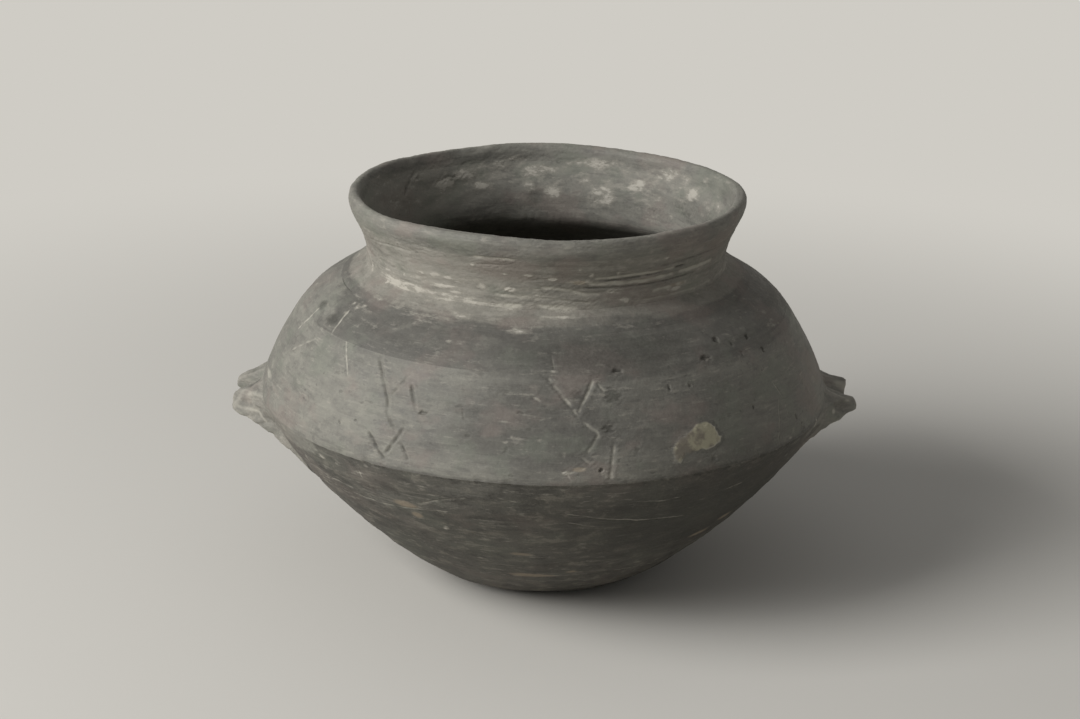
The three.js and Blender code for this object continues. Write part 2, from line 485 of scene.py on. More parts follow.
@dataclass(frozen=True)
class Patch:
    """A soft-edged spot that raises one of the colour layers."""

    layer: str
    angle: float
    height: float
    across: float
    tall: float
    strength: float = 1.0


@dataclass(frozen=True)
class Smear:
    """A mark on a lug, along a line between two places in the lug's own frame."""

    layer: str
    start: tuple[float, float, float]
    end: tuple[float, float, float]
    radius: float
    strength: float = 0.8


@dataclass(frozen=True)
class Dent:
    """A hollow that a finger pressed into a lug, as part of a long round body."""

    start: tuple[float, float, float]
    end: tuple[float, float, float]
    radius: float


@dataclass(frozen=True)
class Spall:
    """A raised crust with an irregular outline and a curled rim on its lower right."""

    outline: Path
    rise: float = 0.34
    rim: float = 0.26


def layer_patches(layer: str, *rows: tuple[float, ...]) -> tuple[Patch, ...]:
    """Make patches of one layer, each row holding a Patch's other fields in their order."""
    return tuple(Patch(layer, *row) for row in rows)


STROKES = (
    # Marks above and below the dark band on the far left
    Stroke(((-74.2, 111), (-72.5, 117.4), (-71.8, 122)), 1.5, 0.26, 0.62),
    Stroke(((-69.3, 118.2), (-59.6, 118.3)), 0.79, 0.31, 0.15, 0.35),
    Stroke(((-57.4, 117.8), (-57.9, 122.5), (-59.2, 126)), 1.2, 0.26, 0.68),
    Stroke(((-70.8, 104.5), (-66.3, 109.8), (-61.9, 114.4)), 1.6, 0.18, 0.44),
    Stroke(((-51.4, 118.5), (-48.2, 113.1), (-45.4, 107.4)), 0.9, 0.18, 0.6),
    # A forked sign on the left, its grooves darkened with painted shade
    Stroke(((-39.4, 118), (-35.4, 109.8), (-32.9, 103.7), (-31.9, 98.3)), 1.6, 0.53, 0.3, 0.4),
    Stroke(((-31.9, 99), (-31, 96.6), (-29.3, 93)), 1.3, 0.44, 0.1, 0.5),
    Stroke(((-27.6, 95.8), (-30.9, 84.6)), 1.4, 0.44, 0, 0.55),
    Stroke(((-35.8, 91.9), (-33.1, 87.3), (-30.5, 82.6)), 1.5, 0.5, 0.1, 0.85),
    Stroke(((-27.8, 90.2), (-25.6, 84.3)), 1.2, 0.4, 0.1, 0.75),
    Stroke(((-32.9, 104.6), (-29.8, 113.3)), 1.3, 0.3, 0.2, 0.35),
    Stroke(((-28.8, 111), (-26.1, 102.6)), 1.4, 0.46, 0.1, 0.6),
    Stroke(((-20.2, 106), (-15.3, 105.8)), 0.79, 0.18, 0, 0.4),
    Stroke(((-16.4, 104.9), (-15.6, 101)), 0.7, 0.22, 0.4),
    # A row of crossed signs at the front
    Stroke(((-2.6, 111), (-0.3, 108.9)), 1.5, 0.14, 0.5),
    Stroke(((-5.7, 104.8), (-1.5, 106), (3, 106.4)), 0.77, 0.09, 0.08, 0.4),
    Stroke(((1.6, 124.2), (2.4, 118.8)), 1.2, 0.14, 0.42),
    Stroke(((0.5, 117.7), (3.3, 112.7), (5.8, 107)), 1.8, 0.24, 0.54),
    Stroke(((5.6, 107.6), (7.2, 103.1)), 1.7, 0.22, 0.44),
    Stroke(((7, 103.6), (10.4, 98.6), (10.6, 97.4), (8, 90.9)), 1.6, 0.22, 0.47),
    Stroke(((10.8, 117.1), (6.8, 105.2)), 1.65, 0.24, 0.54),
    Stroke(((6.8, 91.2), (9, 87)), 1.5, 0.2, 0.44),
    Stroke(((11.2, 115.4), (13, 111.7)), 1.4, 0.2, 0.5),
    Stroke(((13.6, 94.8), (12.3, 81)), 1.6, 0.22, 0.5),
    Stroke(((5.4, 80.8), (4.4, 84.6), (8.2, 86.4)), 1.17, 0.07, 0.5),
    # Thin scratches on the right
    Stroke(((55.5, 104.4), (57.3, 97)), 0.7, 0.26, 0.6),
    Stroke(((55.8, 97.6), (53.4, 89.6), (51.6, 84.2), (51.7, 79.6)), 0.62, 0.22, 0.5),
    Stroke(((57.5, 95.6), (57, 89)), 0.62, 0.18, 0.35),
    # Ridges of clay drawn up beside the lugs
    Stroke(((-84, 89.6), (-78.4, 90.8), (-73.5, 90.2), (-69.2, 88.6)), 3.4, -0.16, 0.1),
    Stroke(((68.4, 81.6), (70.7, 77.3), (71.2, 74.2)), 1.5, -0.15, 0.65),
    # A pressed arc at the left of the crown
    Stroke(((-78, 129.1), (-71.5, 128.4), (-68.6, 129.8), (-68.4, 131.4)), 2.4, 0.16, 0, 0.34),
    # Long scratches round the lower wall
    Stroke(((-57, 58.6), (-46, 57.8), (-36.3, 57.6), (-31.9, 58.2), (-18.9, 62.3)),
           0.9, 0.18, 0.52, sway=0.05),
    Stroke(((-60, 58.6), (-48.6, 62.2), (-43, 61)), 0.9, 0.15, 0.45, sway=0.05),
    Stroke(((-25.2, 63.8), (-20, 67.8), (-14.3, 71.2)), 0.9, 0.15, 0.46, sway=0.05),
    Stroke(((-9, 72.7), (-4.4, 70.6)), 0.7, 0.15, 0.5, sway=0.05),
    Stroke(((-38.4, 73.6), (-37.9, 68.6)), 0.8, 0.2, 0.6, sway=0.05),
    Stroke(((4.6, 64.4), (11.9, 61), (20.1, 57.9), (26.8, 56.9), (32.4, 56.2)),
           0.9, 0.18, 0.52, sway=0.05),
    Stroke(((18, 69.1), (23.6, 67.8), (28.4, 68.3)), 0.9, 0.15, 0.44, sway=0.05),
    Stroke(((4.8, 59.6), (11.8, 56.1)), 0.7, 0.15, 0.5, sway=0.05),
    Stroke(((38, 66), (44.9, 67.5)), 0.7, 0.15, 0.5, sway=0.05),
    Stroke(((23, 22.4), (33, 21.2), (44.4, 19.6)), 0.7, 0.15, 0.5, sway=0.05),
    # A chipped stretch under the widest edge, darkened with a painted shadow
    Stroke(((12, 79), (30, 79.1), (64, 79)), 1.3, 0.15, 0, 0.5, sway=0.2),
    # Wiping lines round the neck
    Stroke(((-66, 151), (-51.5, 153.3), (-43, 153.5)), 0.9, 0.2, 0, 0.3, 0.04),
    Stroke(((-45.4, 157.5), (-33, 156.9)), 0.9, 0.15, 0.5, 0, 0.04),
    Stroke(((-21.2, 156.9), (-6.2, 157)), 1.2, 0.2, 0.75, 0, 0.04),
    Stroke(((-20, 153.2), (-10, 154.3)), 0.8, 0.2, 0, 0.3, 0.04),
    Stroke(((8, 163.6), (22.8, 163.6)), 0.8, 0.1, 0.35, 0, 0.04),
    Stroke(((12, 145.8), (30, 145.3), (40, 146.1), (62, 146.2)), 1.7, 0.24, 0.85, 0, 0.04),
    Stroke(((13, 147.9), (25, 148.5), (42, 148.4)), 1.5, 0.2, 0.75, 0, 0.04),
    Stroke(((14.6, 147.1), (22, 146.9), (32, 147.6), (46, 148.9)), 1.2, 0.35, 0, 0.7, 0.04),
    Stroke(((10, 144.2), (28, 143.6), (52, 143.9)), 1.1, 0.25, 0, 0.6, 0.04),
    Stroke(((34, 150.6), (50, 151.6), (64, 151.2)), 1.5, 0.2, 0, 0.5, 0.04),
    Stroke(((-5, 147.2), (4, 148.6)), 0.9, 0.2, 0.35, 0, 0.04),
    Stroke(((-2, 144.2), (4.2, 143.9), (11.4, 141.6), (17, 141.2)), 1.5, 0.16, 0.75, 0, 0.04),
    Stroke(((33, 140.3), (48.5, 140.9)), 1.6, 0.16, 0.8, 0, 0.04),
    Stroke(((27, 137.2), (41, 137.3), (56, 137), (76, 137.4)), 1.3, 0.2, 0.45, 0, 0.04),
    Stroke(((-16.5, 140.4), (-4.6, 140.2)), 1.4, 0.15, 0.7, 0, 0.04),
    Stroke(((-4, 140), (1.6, 139.7), (13.8, 137.8)), 0.8, 0.2, 0.45, 0, 0.04),
    Stroke(((-15.5, 136.6), (-6.4, 136.7)), 1.6, 0.15, 0.8, 0, 0.04),
    Stroke(((-3, 137), (1.1, 136.7), (9.9, 136.4)), 1.6, 0.16, 0.85, 0, 0.04),
    Stroke(((-2.4, 134.2), (10.4, 133.8)), 1.5, 0.1, 0.45, 0, 0.04),
    Stroke(((60, 141.5), (96, 141.9)), 0.9, 0.25, 0.2, 0, 0.04),
    Stroke(((110, 144.5), (170, 145.2)), 1, 0.25, 0, 0.3, 0.04),
    Stroke(((-160, 147.2), (-110, 146.6)), 1, 0.25, 0.15, 0, 0.04),
    Stroke(((-120, 141), (-76, 141.6)), 0.9, 0.2, 0.25, 0, 0.04),
)

PITS = tuple(Pit(*row) for row in (
    (44.4, 122.8, 1.7, 1.9, 0.9), (54.6, 120.6, 1.5, 1.5, 0.8), (38.4, 118.7, 2.8, 1.4, 0.9),
    (57.3, 114.9, 1.2, 1.5, 0.6), (49.7, 116.8, 1, 1, 0.4, 0.2), (48.3, 120.4, 0.9, 0.9, 0.4),
    (27.1, 111.4, 0.9, 1.1, 0.4, 0.6), (32, 110.9, 0.9, 0.9, 0.35, 0.5), (16, 118.7, 2.4, 1, 0.8),
    (12.7, 99.6, 2.8, 1.9, 0.4, 0.62), (10.7, 85.5, 1, 1.2, 0.6), (-24.6, 101.7, 2.2, 1, 0.6, 0.5),
    (-43.3, 91.3, 1.1, 0.9, 0.25, 0.6), (-39.3, 93.9, 0.8, 0.8, 0.25, 0.6),
    (-45.7, 101.7, 1.6, 0.8, 0.1, 0.5), (-39.2, 100.5, 1.8, 0.7, 0.1, 0.5),
    (-48.8, 107.4, 2.4, 0.9, 0.08, 0.42), (-37.1, 101.4, 2.6, 0.8, 0.08, 0.45),
    (-43, 102.9, 1.4, 0.8, 0.08, 0.42), (-14.6, 96.2, 1.4, 1.1, 0.12, 0.5),
    (-10.9, 112.8, 2, 1.2, 0.08, 0.45), (-7.9, 112.2, 2.2, 1.1, 0.08, 0.45),
    (-4.7, 105.1, 1.6, 1.3, 0.12, 0.5), (-2.8, 99.9, 1.8, 0.8, 0.1, 0.45),
    (-7, 92, 1.3, 1, 0.12, 0.45), (-5.7, 83.2, 1.3, 0.7, 0.12, 0.5),
    (6.9, 111.6, 3.2, 2.2, 0.1, 0.5), (17.9, 91.9, 1.2, 1.8, 0.12, 0.45),
    (39.6, 97.9, 1.6, 1.1, 0.12, 0.45), (14.2, 110.5, 4.2, 3.9, 0.12, 0.62),
    (46.8, 98, 0.9, 1.2, 0.4), (33.8, 84.2, 1.6, 1.6, 0.4, 0.45), (59.7, 88, 1.1, 1.5, 0.5, 0.5),
    (61, 82.3, 2.6, 3, 0.5, 0.4), (55.6, 78.4, 2.2, 1.5, 0.4, 0.45), (134, 112, 1.3, 1, 0.6),
    (-163, 96, 1.6, 1.2, 0.6), (172, 120, 2, 1, 0.6), (-118, 108, 1.2, 1.4, 0.5),
))

PATCHES = (
    # Painted light on the left of the belly and the neck; painted shade over the belly's front
    # and right and over the crown's right, and a darker patch at the back
    *layer_patches("wear_and_light", (-44, 99, 44, 24, 0.5), (-28, 149, 66, 14, 0.75)),
    *layer_patches(
        "smoke_and_shade",
        (-1, 101, 50, 30, 0.85), (26, 103, 70, 28, 0.56), (18, 132, 40, 7, 0.55),
        (170, 98, 60, 24, 0.5),
    ),
    # Clay of the lugs' roots smeared down over the widest edge
    *layer_patches(
        "rubbed",
        (-77, 75, 42, 13, 1.4), (-62, 76.5, 32, 8, 1.4), (-54, 77.4, 13, 4.2, 0.9),
        (-104, 75, 42, 12, 1.3), (76, 77, 34, 7, 1), (104, 77, 34, 7, 1),
    ),
    *layer_patches("pale", (-77.4, 90.6, 11, 2.4, 0.5), (-71.4, 89.6, 7, 1.9, 0.42)),
    # The dark band fades towards the lug on the left
    *layer_patches("rubbed", (-84, 122, 46, 24, 1), (-118, 121, 46, 20, 0.7)),
    # Smoke in the small spots and at the back; the broad patches over the front and right of the
    # shoulder, belly and lower wall are painted shade
    *layer_patches(
        "dark",
        (60, 92, 36, 18, 0.3), (16, 124, 66, 16, 0.58), (6, 44, 60, 30, 0.3),
        (40, 54, 90, 54, 0.86), (-71.5, 122.8, 6, 4, 0.7), (-61.2, 121.6, 8, 5, 0.7),
        (170, 108, 54, 22, 0.3), (-150, 60, 50, 20, 0.28), (38, 158.4, 9, 2.2, 0.4),
        (4, 163, 5, 1, 0.35), (-70, 106, 9, 6, 0.2),
    ),
    # Crumbs of lime and clay that dried on
    *layer_patches(
        "lime",
        (3.9, 90.8, 1.3, 1), (-6, 97.3, 1.2, 0.9, 0.8), (-7.2, 94.4, 1.1, 1.2, 0.8),
        (-0.7, 85.4, 1.6, 0.7, 0.8), (1.9, 119.1, 1.2, 0.9, 0.8), (-17.8, 118.4, 1.1, 1, 0.8),
        (4.2, 84.8, 2.2, 1.4), (30.2, 84.1, 1.8, 0.8), (-33.3, 125.9, 0.8, 0.8),
        (-24, 125.4, 1.6, 1, 0.7), (-21.6, 51.5, 2.2, 1.5), (57.2, 83.9, 1.6, 2.2, 0.8),
        (-48.5, 73.7, 3, 1.6, 0.7), (-44, 73.3, 3, 1.6, 0.6), (-35.6, 77.2, 1.8, 1.2, 0.8),
        (-57, 67.5, 2.4, 3, 0.7), (-38.6, 72.6, 2.6, 1.5, 0.5), (-59.2, 124.6, 1.7, 1.7, 0.95),
        (-57.4, 126.6, 2, 1.4, 0.95), (-60.2, 127.2, 1.5, 1.8, 0.9), (-55.8, 127.8, 2, 1.5, 0.9),
        (-58, 128.3, 1.2, 0.8, 0.85), (-62, 117.6, 2.8, 1.8, 0.7), (-67.6, 97.9, 1.2, 1.6, 0.8),
        (-48.7, 87, 1.6, 1.8, 0.5), (51.5, 79.2, 3.2, 0.9, 0.8), (69.7, 92.2, 1.5, 1.5, 0.9),
        (-67, 75.4, 1.4, 1.4, 0.8), (-70, 70.6, 1.2, 2, 0.7), (57.6, 72.2, 1.4, 1.2, 0.7),
        (55.8, 81.6, 2.2, 1.4, 0.6),
    ),
    *layer_patches("ochre", (6.6, 85.9, 4.6, 1.5, 0.9)),
    # Lime at the root of the neck, thickest on the front left
    *layer_patches(
        "lime",
        (-54, 137.8, 15, 3.6, 0.95), (-45, 137.2, 15, 3.4, 1), (-33, 137.2, 15, 2.8, 0.95),
        (-22, 137.3, 15, 2.8, 0.9), (-13, 136.4, 12, 2.4, 0.8), (-35.2, 145.1, 4.6, 2.4, 0.95),
        (-32.3, 141.1, 7, 2, 0.9), (-28.6, 144.3, 6, 1.8, 0.75), (-19.7, 143.3, 5.6, 2.2, 0.8),
        (-21.1, 152.9, 3, 1.4, 0.75), (-4.3, 137.1, 3, 2.2, 0.9), (-24, 132.7, 8, 2.4, 0.7),
        (-14.3, 132.4, 9, 2, 0.65), (-8, 130.2, 10, 1.8, 0.75), (9.9, 146.8, 10, 2.4, 0.95),
        (24.4, 138, 4.2, 2, 0.9), (21.6, 142, 6, 2, 0.85), (12.5, 150.4, 2.2, 1.8, 0.7),
        (21.2, 150.1, 2, 1.5, 0.7), (4, 136.6, 12, 2.4, 0.8), (4, 133.9, 12, 1.4, 0.7),
        (46, 140.8, 9, 1.8, 0.65), (1.2, 160.1, 3, 1.6, 0.85), (-2.2, 159, 2, 1.5, 0.95),
        (12.8, 165, 3, 1.2, 0.8), (30, 165.2, 3.4, 1.2, 0.8), (-17, 164.2, 2.4, 2, 0.9),
        (31, 158.2, 5.6, 1.1, 0.7), (36.3, 160.5, 4.6, 1.6, 0.7), (32.9, 154.2, 5.6, 1.8, 0.6),
        (44.3, 158.5, 2, 1.4, 0.7), (53, 156.8, 8, 1, 0.6),
    ),
    # Crumbs of lime that cling to the neck
    *layer_patches(
        "lime",
        (-35.6, 145, 2.2, 1.5, 1.3), (-30.2, 144.6, 3.4, 1.3, 1.25),
        (-19.7, 143.3, 3.4, 1.7, 1.25), (-21.1, 152.9, 2, 1.3, 1.2), (-11.7, 149.7, 2.2, 1.1, 1.2),
        (-5.1, 149.5, 2.6, 1.1, 1.2), (-48.4, 141.8, 1.2, 1.6, 1.15),
        (-57.5, 135.5, 1.6, 1.3, 1.15), (-70.4, 137.2, 2.2, 3.2, 1.1),
        (-2.2, 159.2, 1.5, 1.2, 1.35), (1.2, 160.3, 1.3, 1.1, 1.25), (10.6, 160.8, 3, 1.1, 1.15),
        (9.6, 152.9, 1.2, 1.6, 1.2), (13.3, 149.8, 2, 1.6, 1.2), (21.1, 149.9, 1.2, 1.3, 1.2),
        (2, 147.9, 3, 1.3, 1.3), (19.7, 142.3, 4.4, 1.8, 1.05), (24.7, 137.7, 2.2, 1.7, 1.15),
        (30, 158.6, 3.2, 1.3, 1.1), (37.4, 161.1, 1.8, 2, 1.15), (36.1, 154, 2.6, 1.1, 1.05),
        (43.3, 139.3, 4.4, 1.3, 1.1), (-10.6, 142.8, 4, 1.4, 1.15), (4.3, 138.5, 5, 1.2, 1.1),
        (-28.1, 139.2, 4, 1.3, 1.15), (-42.5, 136.9, 4.4, 1.6, 1.2),
    ),
    *layer_patches("ochre", (9.9, 146.6, 5.4, 1.9, 0.75)),
    # A thin haze of lime over the lower neck and the crown
    *layer_patches(
        "lime",
        (-40, 141, 50, 10, 0.5), (4, 141, 56, 9, 0.42), (50, 140, 50, 8, 0.28),
        (-36, 131.6, 56, 4.4, 0.42), (10, 131.4, 50, 3.6, 0.16), (150, 138, 80, 6.4, 0.6),
        (-130, 137, 60, 6.4, 0.62), (95, 137, 40, 5, 0.42),
    ),
    # Iron stains
    *layer_patches(
        "ochre",
        (-29.4, 61.1, 9, 3.4, 0.95), (-27.7, 55.7, 4, 3.2, 0.95), (-5, 38.7, 9, 2.2, 0.8),
        (-2.7, 22.9, 16, 3.2, 1), (9.2, 26, 4, 2, 0.9), (45.9, 37.8, 10, 3.6, 0.85),
        (51.8, 44, 8, 3.6, 0.8), (44, 140.9, 9, 1.6, 0.7), (9, 147, 8, 1.8, 0.5),
        (5.2, 161, 6, 1.4, 0.6), (152, 48, 18, 6, 0.8), (-118, 66, 11, 5, 0.7),
    ),
)

INNER_PATCHES = (
    # Painted light over the inner wall on the left, and a lighter band under the mouth on the
    # right
    *layer_patches("wear_and_light", (150, 158, 90, 10, 0.4), (-118, 150, 64, 20, 1.2)),
    *layer_patches(
        "lime",
        (140, 153, 60, 14, 0.42), (-165, 154, 50, 10, 0.5), (-128, 153, 50, 14, 0.5),
        (-141.9, 151.8, 9, 4, 1.15), (-151, 154.2, 9, 3.6, 1.2), (-155.5, 149, 6, 3.4, 1.1),
        (-164.6, 157.5, 7, 2.6, 0.9), (-176.4, 154.8, 8, 4.6, 1.2), (-173.6, 147.6, 5, 3.6, 1.1),
        (178, 146, 5.6, 4, 1.15), (168, 152, 7, 4.4, 0.7), (162.1, 158.7, 14, 4.6, 0.8),
        (147.2, 151.3, 7, 4.4, 1.2), (159.6, 145, 10, 7.4, 0.95), (131.2, 158.5, 16, 5.6, 0.75),
        (122.4, 154, 10, 6, 0.95), (108, 153, 16, 6, 0.5), (-130.5, 156.3, 8, 3.4, 0.9),
    ),
    # Painted shade over the inner wall on the right, and a small dark spot at the back
    *layer_patches(
        "dark",
        (-175.7, 143.7, 6, 7, 0.5), (116, 146, 40, 11, 0.5), (150, 141, 60, 8, 0.45),
    ),
)

INNER_STROKES = (
    Stroke(((-131.9, 160), (-126, 154.5), (-122.3, 149.9)), 1.6, 0.35, 0.1, 0.45),
    Stroke(((-149, 153.4), (-144, 154.4), (-139, 153)), 1.2, 0.2, 0, 0.45),
    Stroke(((170, 162), (160, 155)), 1, 0.2, 0.3, 0.2),
)

SPALL = Spall((
    (25.2, 91.4), (26.5, 93.9), (28.9, 95.4), (31.1, 98), (34, 98), (35.5, 95.6),
    (35.6, 93.4), (36.7, 91.6), (35.6, 89.4), (33.5, 87.6), (31.2, 88), (28.9, 87.5),
    (27.4, 86.8), (26.6, 84.6), (25.4, 85), (24.8, 88),
))


# Heights over which an unevenness of the hand comes in and goes out again
LOWER_WALL = ((80.0, 70.0),)
NECK = ((130.0, 136.0), (160.0, 154.0))
SHOULDER = ((112.0, 120.0), (132.0, 128.0))
LIP = ((158.0, 164.0),)

OUTER_RIPPLES = (
    ((), Ripple(95, 60, 0.16, 1)),
    ((), Ripple(34, 18, 0.06, 2)),
    (LOWER_WALL, Ripple(60, 9, 0.08, 3)),
    (LOWER_WALL, Ripple(26, 6, 0.04, 4)),
    (NECK, Ripple(2400, 4.2, 0.045, 7)),
    (NECK, Ripple(70, 30, 0.08, 8)),
    (SHOULDER, Ripple(700, 5, 0.05, 9)),
    (LIP, Ripple(70, 60, 0.22, 10)),
    (LIP, Ripple(9, 8, 0.05, 11)),
)

INNER_RIPPLES = (
    ((), Ripple(60, 22, 0.22, 21)),
    ((), Ripple(18, 10, 0.06, 22)),
    ((), Ripple(3.4, 2.2, 0.04, 23)),
)


def unevenness(points: np.ndarray, table: tuple[tuple[Path, Ripple], ...]) -> np.ndarray:
    """Add up ripples, each faded by height as its row of the table says."""
    total = np.zeros(len(points))
    for fades, ripple in table:
        share = np.prod([ramp(points[:, 2], *fade) for fade in fades], axis=0)
        total += share * ripple.at(points)
    return total


@dataclass(frozen=True)
class Handwork:
    """Everything that turns the true surface of revolution into a surface made by hand."""

    wall: Wall
    crown_limit: float = 165.68
    girth_limit: float = 119.97
    refine_margin: float = 1.6
    crust_margin: float = 2.2
    crust_box: float = 16.0
    ripple_limit: float = 0.55
    inner_limit: float = 0.8
    inset: float = 0.36
    grain: Ripple = Ripple(3.2, 2.4, 0.04, 12)
    below_crown: tuple[float, float] = (123.4, 128.6)
    above_crown: tuple[float, float] = (129.3, 134.0)
    crown_thumb: Ripple = Ripple(50, 50, 0.08, 14)
    over_band: tuple[float, float] = (129.8, 133.6)
    under_band: tuple[float, float] = (112.5, 118.0)
    above_edge: tuple[float, float] = (80.4, 82.4)
    smoky_edge: float = 0.62
    rubbed_edge: float = 0.5
    smeared_angles: tuple[float, float] = (20.0, 36.0)
    smeared_heights: tuple[float, float] = (71.5, 79.8)
    smeared_ledge: tuple[float, float] = (0.19, 0.76)
    smear_height: float = 0.55
    nicks: Ripple = Ripple(9, 60, 1, 15)
    nick_depth: float = 0.45

    @cached_property
    def outer_routes(self) -> list[tuple[Stroke, np.ndarray]]:
        """Each stroke of the outer wall with close points along it."""
        return [(stroke, self._route(stroke, Skin.OUTSIDE)) for stroke in STROKES]

    @cached_property
    def inner_routes(self) -> list[tuple[Stroke, np.ndarray]]:
        """Each scratch of the inner wall with close points along it."""
        return [(stroke, self._route(stroke, Skin.INSIDE)) for stroke in INNER_STROKES]

    def _radius(self, height: np.ndarray, skin: Skin) -> np.ndarray:
        """Radius of one side of the wall at each height."""
        inset = 0.0 if skin is Skin.OUTSIDE else self.wall.neck_wall + 0.2
        return self.wall.radius_at(height) - inset

    def _route(self, stroke: Stroke, skin: Skin) -> np.ndarray:
        """Points about half a millimetre apart along a stroke."""
        corners = np.array(stroke.path)
        points = on_jar(corners[:, 0], self._radius(corners[:, 1], skin), corners[:, 1])
        run = np.r_[0, np.cumsum(np.linalg.norm(np.diff(points, axis=0), axis=1))]
        steps = np.linspace(0, run[-1], max(3, int(run[-1] / 0.5)))
        angle = np.interp(steps, run, corners[:, 0])
        height = np.interp(steps, run, corners[:, 1])
        sway = Ripple(9, 9, stroke.sway, len(corners) + int(abs(corners[0, 1]) * 10))
        route = on_jar(angle, self._radius(height, skin), height)
        height = height + sway.at(route)
        return on_jar(angle, self._radius(height, skin), height)

    @staticmethod
    def _distance(points: np.ndarray, route: np.ndarray,
                  reach: float) -> tuple[np.ndarray, ...]:
        """Find the points near a route.

        Args:
            points: Places on the jar.
            route: Close points along a stroke.
            reach: How far from the route still counts.

        Returns:
            Indices of the near points, their distance from the route, and how far along it
            they lie, in millimetres from its nearer end.
        """
        inside = (points > route.min(0) - reach).all(1) & (points < route.max(0) + reach).all(1)
        near = np.flatnonzero(inside)
        if not len(near):
            return near, np.zeros(0), np.zeros(0)
        gap = np.linalg.norm(points[near][:, None, :] - route[None, :, :], axis=2)
        nearest = gap.argmin(1)
        step = float(np.linalg.norm(route[1] - route[0]))
        from_end = np.minimum(nearest, len(route) - 1 - nearest) * step
        return near, np.maximum(gap.min(1) - 0.1 * step, 0), from_end

    def near_marks(self, points: np.ndarray, skin: Skin) -> np.ndarray:
        """Tell which points need a finer mesh because a mark runs close by.

        Args:
            points: Places on one side of the wall.
            skin: That side.

        Returns:
            True for each such point.
        """
        found = np.zeros(len(points), bool)
        routes = self.outer_routes if skin is Skin.OUTSIDE else self.inner_routes
        for stroke, route in routes:
            reach = stroke.width + self.refine_margin
            near, gap, _ = self._distance(points, route, reach)
            found[near[gap < reach]] = True
        if skin is Skin.INSIDE:
            return found
        for pit in PITS:
            across, along = self._local(points, pit.angle, pit.height)
            reach = max(pit.across, pit.tall) + self.refine_margin
            found |= np.hypot(across, along) < reach
        return found | (np.abs(self._spall_depth(points)) < self.crust_margin)

    def _local(self, points: np.ndarray, angle: float, height: float,
               skin: Skin = Skin.OUTSIDE) -> tuple[np.ndarray, np.ndarray]:
        """Distances round the jar and up the wall from one place on it.

        Args:
            points: Places on the jar.
            angle: Angle of the place.
            height: Height of the place.
            skin: Side of the wall.

        Returns:
            Distance across, and distance up the wall, far values for the other side of the jar.
        """
        radius = float(self._radius(np.array([height]), skin)[0])
        turn = math.radians(angle)
        outward = np.array([math.sin(turn), -math.cos(turn), 0])
        aside = np.array([math.cos(turn), math.sin(turn), 0])
        relative = points - on_jar(np.array([angle]), np.array([radius]), np.array([height]))
        across = relative @ aside
        inward = relative @ outward
        bend = np.arctan2(across, radius + inward) * radius
        rise = relative[:, 2]
        shrink = np.hypot(points[:, 0], points[:, 1]) - radius
        along = np.sign(rise) * np.hypot(rise, shrink)
        return np.where(inward > -radius, bend, 1e3), along

    def _spall_depth(self, points: np.ndarray) -> np.ndarray:
        """Distance inside the crust's outline, negative outside it."""
        corners = np.array(SPALL.outline)
        middle = corners.mean(0)
        across, along = self._local(points, *middle)
        spots = on_jar(corners[:, 0], self._radius(corners[:, 1], Skin.OUTSIDE), corners[:, 1])
        loop = np.stack(self._local(spots, *middle), axis=1)
        close = (np.abs(across) < self.crust_box) & (np.abs(along) < self.crust_box)
        depth = np.full(len(points), -99.0)
        spot = np.stack([across[close], along[close]], axis=1)
        if not len(spot):
            return depth
        spot = spot + 0.2 * np.stack([Ripple(5, 4, 1, s).at(points[close]) for s in (5, 6)], 1)
        gap = np.full(len(spot), 99.0)
        inside = np.zeros(len(spot), bool)
        for a, b in zip(loop, np.roll(loop, -1, axis=0)):
            edge = b - a
            share = np.clip(((spot - a) @ edge) / (edge @ edge), 0, 1)
            gap = np.minimum(gap, np.linalg.norm(spot - a - share[:, None] * edge, axis=1))
            crosses = (a[1] > spot[:, 1]) != (b[1] > spot[:, 1])
            with np.errstate(divide="ignore", invalid="ignore"):
                side = spot[:, 0] < a[0] + (spot[:, 1] - a[1]) * edge[0] / edge[1]
            inside ^= crosses & side
        depth[close] = np.where(inside, gap, -gap)
        return depth

    def outer_relief(self, points: np.ndarray) -> tuple[np.ndarray, Layers]:
        """Work out how far the outer surface departs from the true one, and its colour layers.

        Args:
            points: Places on the true outer surface.

        Returns:
            Distance outward for each point, and one array of shares for each layer.
        """
        layers = {name: np.zeros(len(points)) for name in MARK_LAYERS}
        relief = unevenness(points, OUTER_RIPPLES)
        relief = np.clip(relief, -self.ripple_limit, self.ripple_limit) - self.inset
        finest = 2 * self.grain.height
        relief += np.clip(self.grain.at(points), -finest, finest)
        relief += self._smeared_edges(points)
        self._add_patches(points, PATCHES, Skin.OUTSIDE, layers)
        self._fray_bands(points, layers)
        relief += self._cut(points, self.outer_routes, layers)
        relief += self._chip(points, layers)
        relief += self._crust(points, layers)
        flakes = 0.5 + Ripple(2.6, 1.4, 0.4, 13).at(points)
        return relief + 0.14 * ramp(layers["lime"], 0.55, 0.95) * flakes, layers

    def _fray_bands(self, points: np.ndarray, layers: Layers) -> None:
        """Carry the dark band's tone over its upper and lower edge, for a frayed transition."""
        height = points[:, 2]
        angle = np.degrees(np.arctan2(points[:, 0], -points[:, 1]))
        over = (1 - ramp(height, *self.over_band)) * (height > self.wall.crown[1] - 0.02)
        under = ramp(height, *self.under_band) * (0.15 + 0.85 * ramp(angle, -34, 14))
        below_seam = height < self.wall.belly_top[1] + 0.02
        edge = self.smoky_edge * (1 - ramp(height, *self.above_edge)) * ramp(angle, -50, -30)
        lift(layers, "smoke_and_shade", np.maximum(over, np.maximum(under, edge) * below_seam))
        below_edge = height < self.wall.carination_height + 0.01
        lift(layers, "rubbed", self.rubbed_edge * ramp(height, 77.6, 79.4) * below_edge)

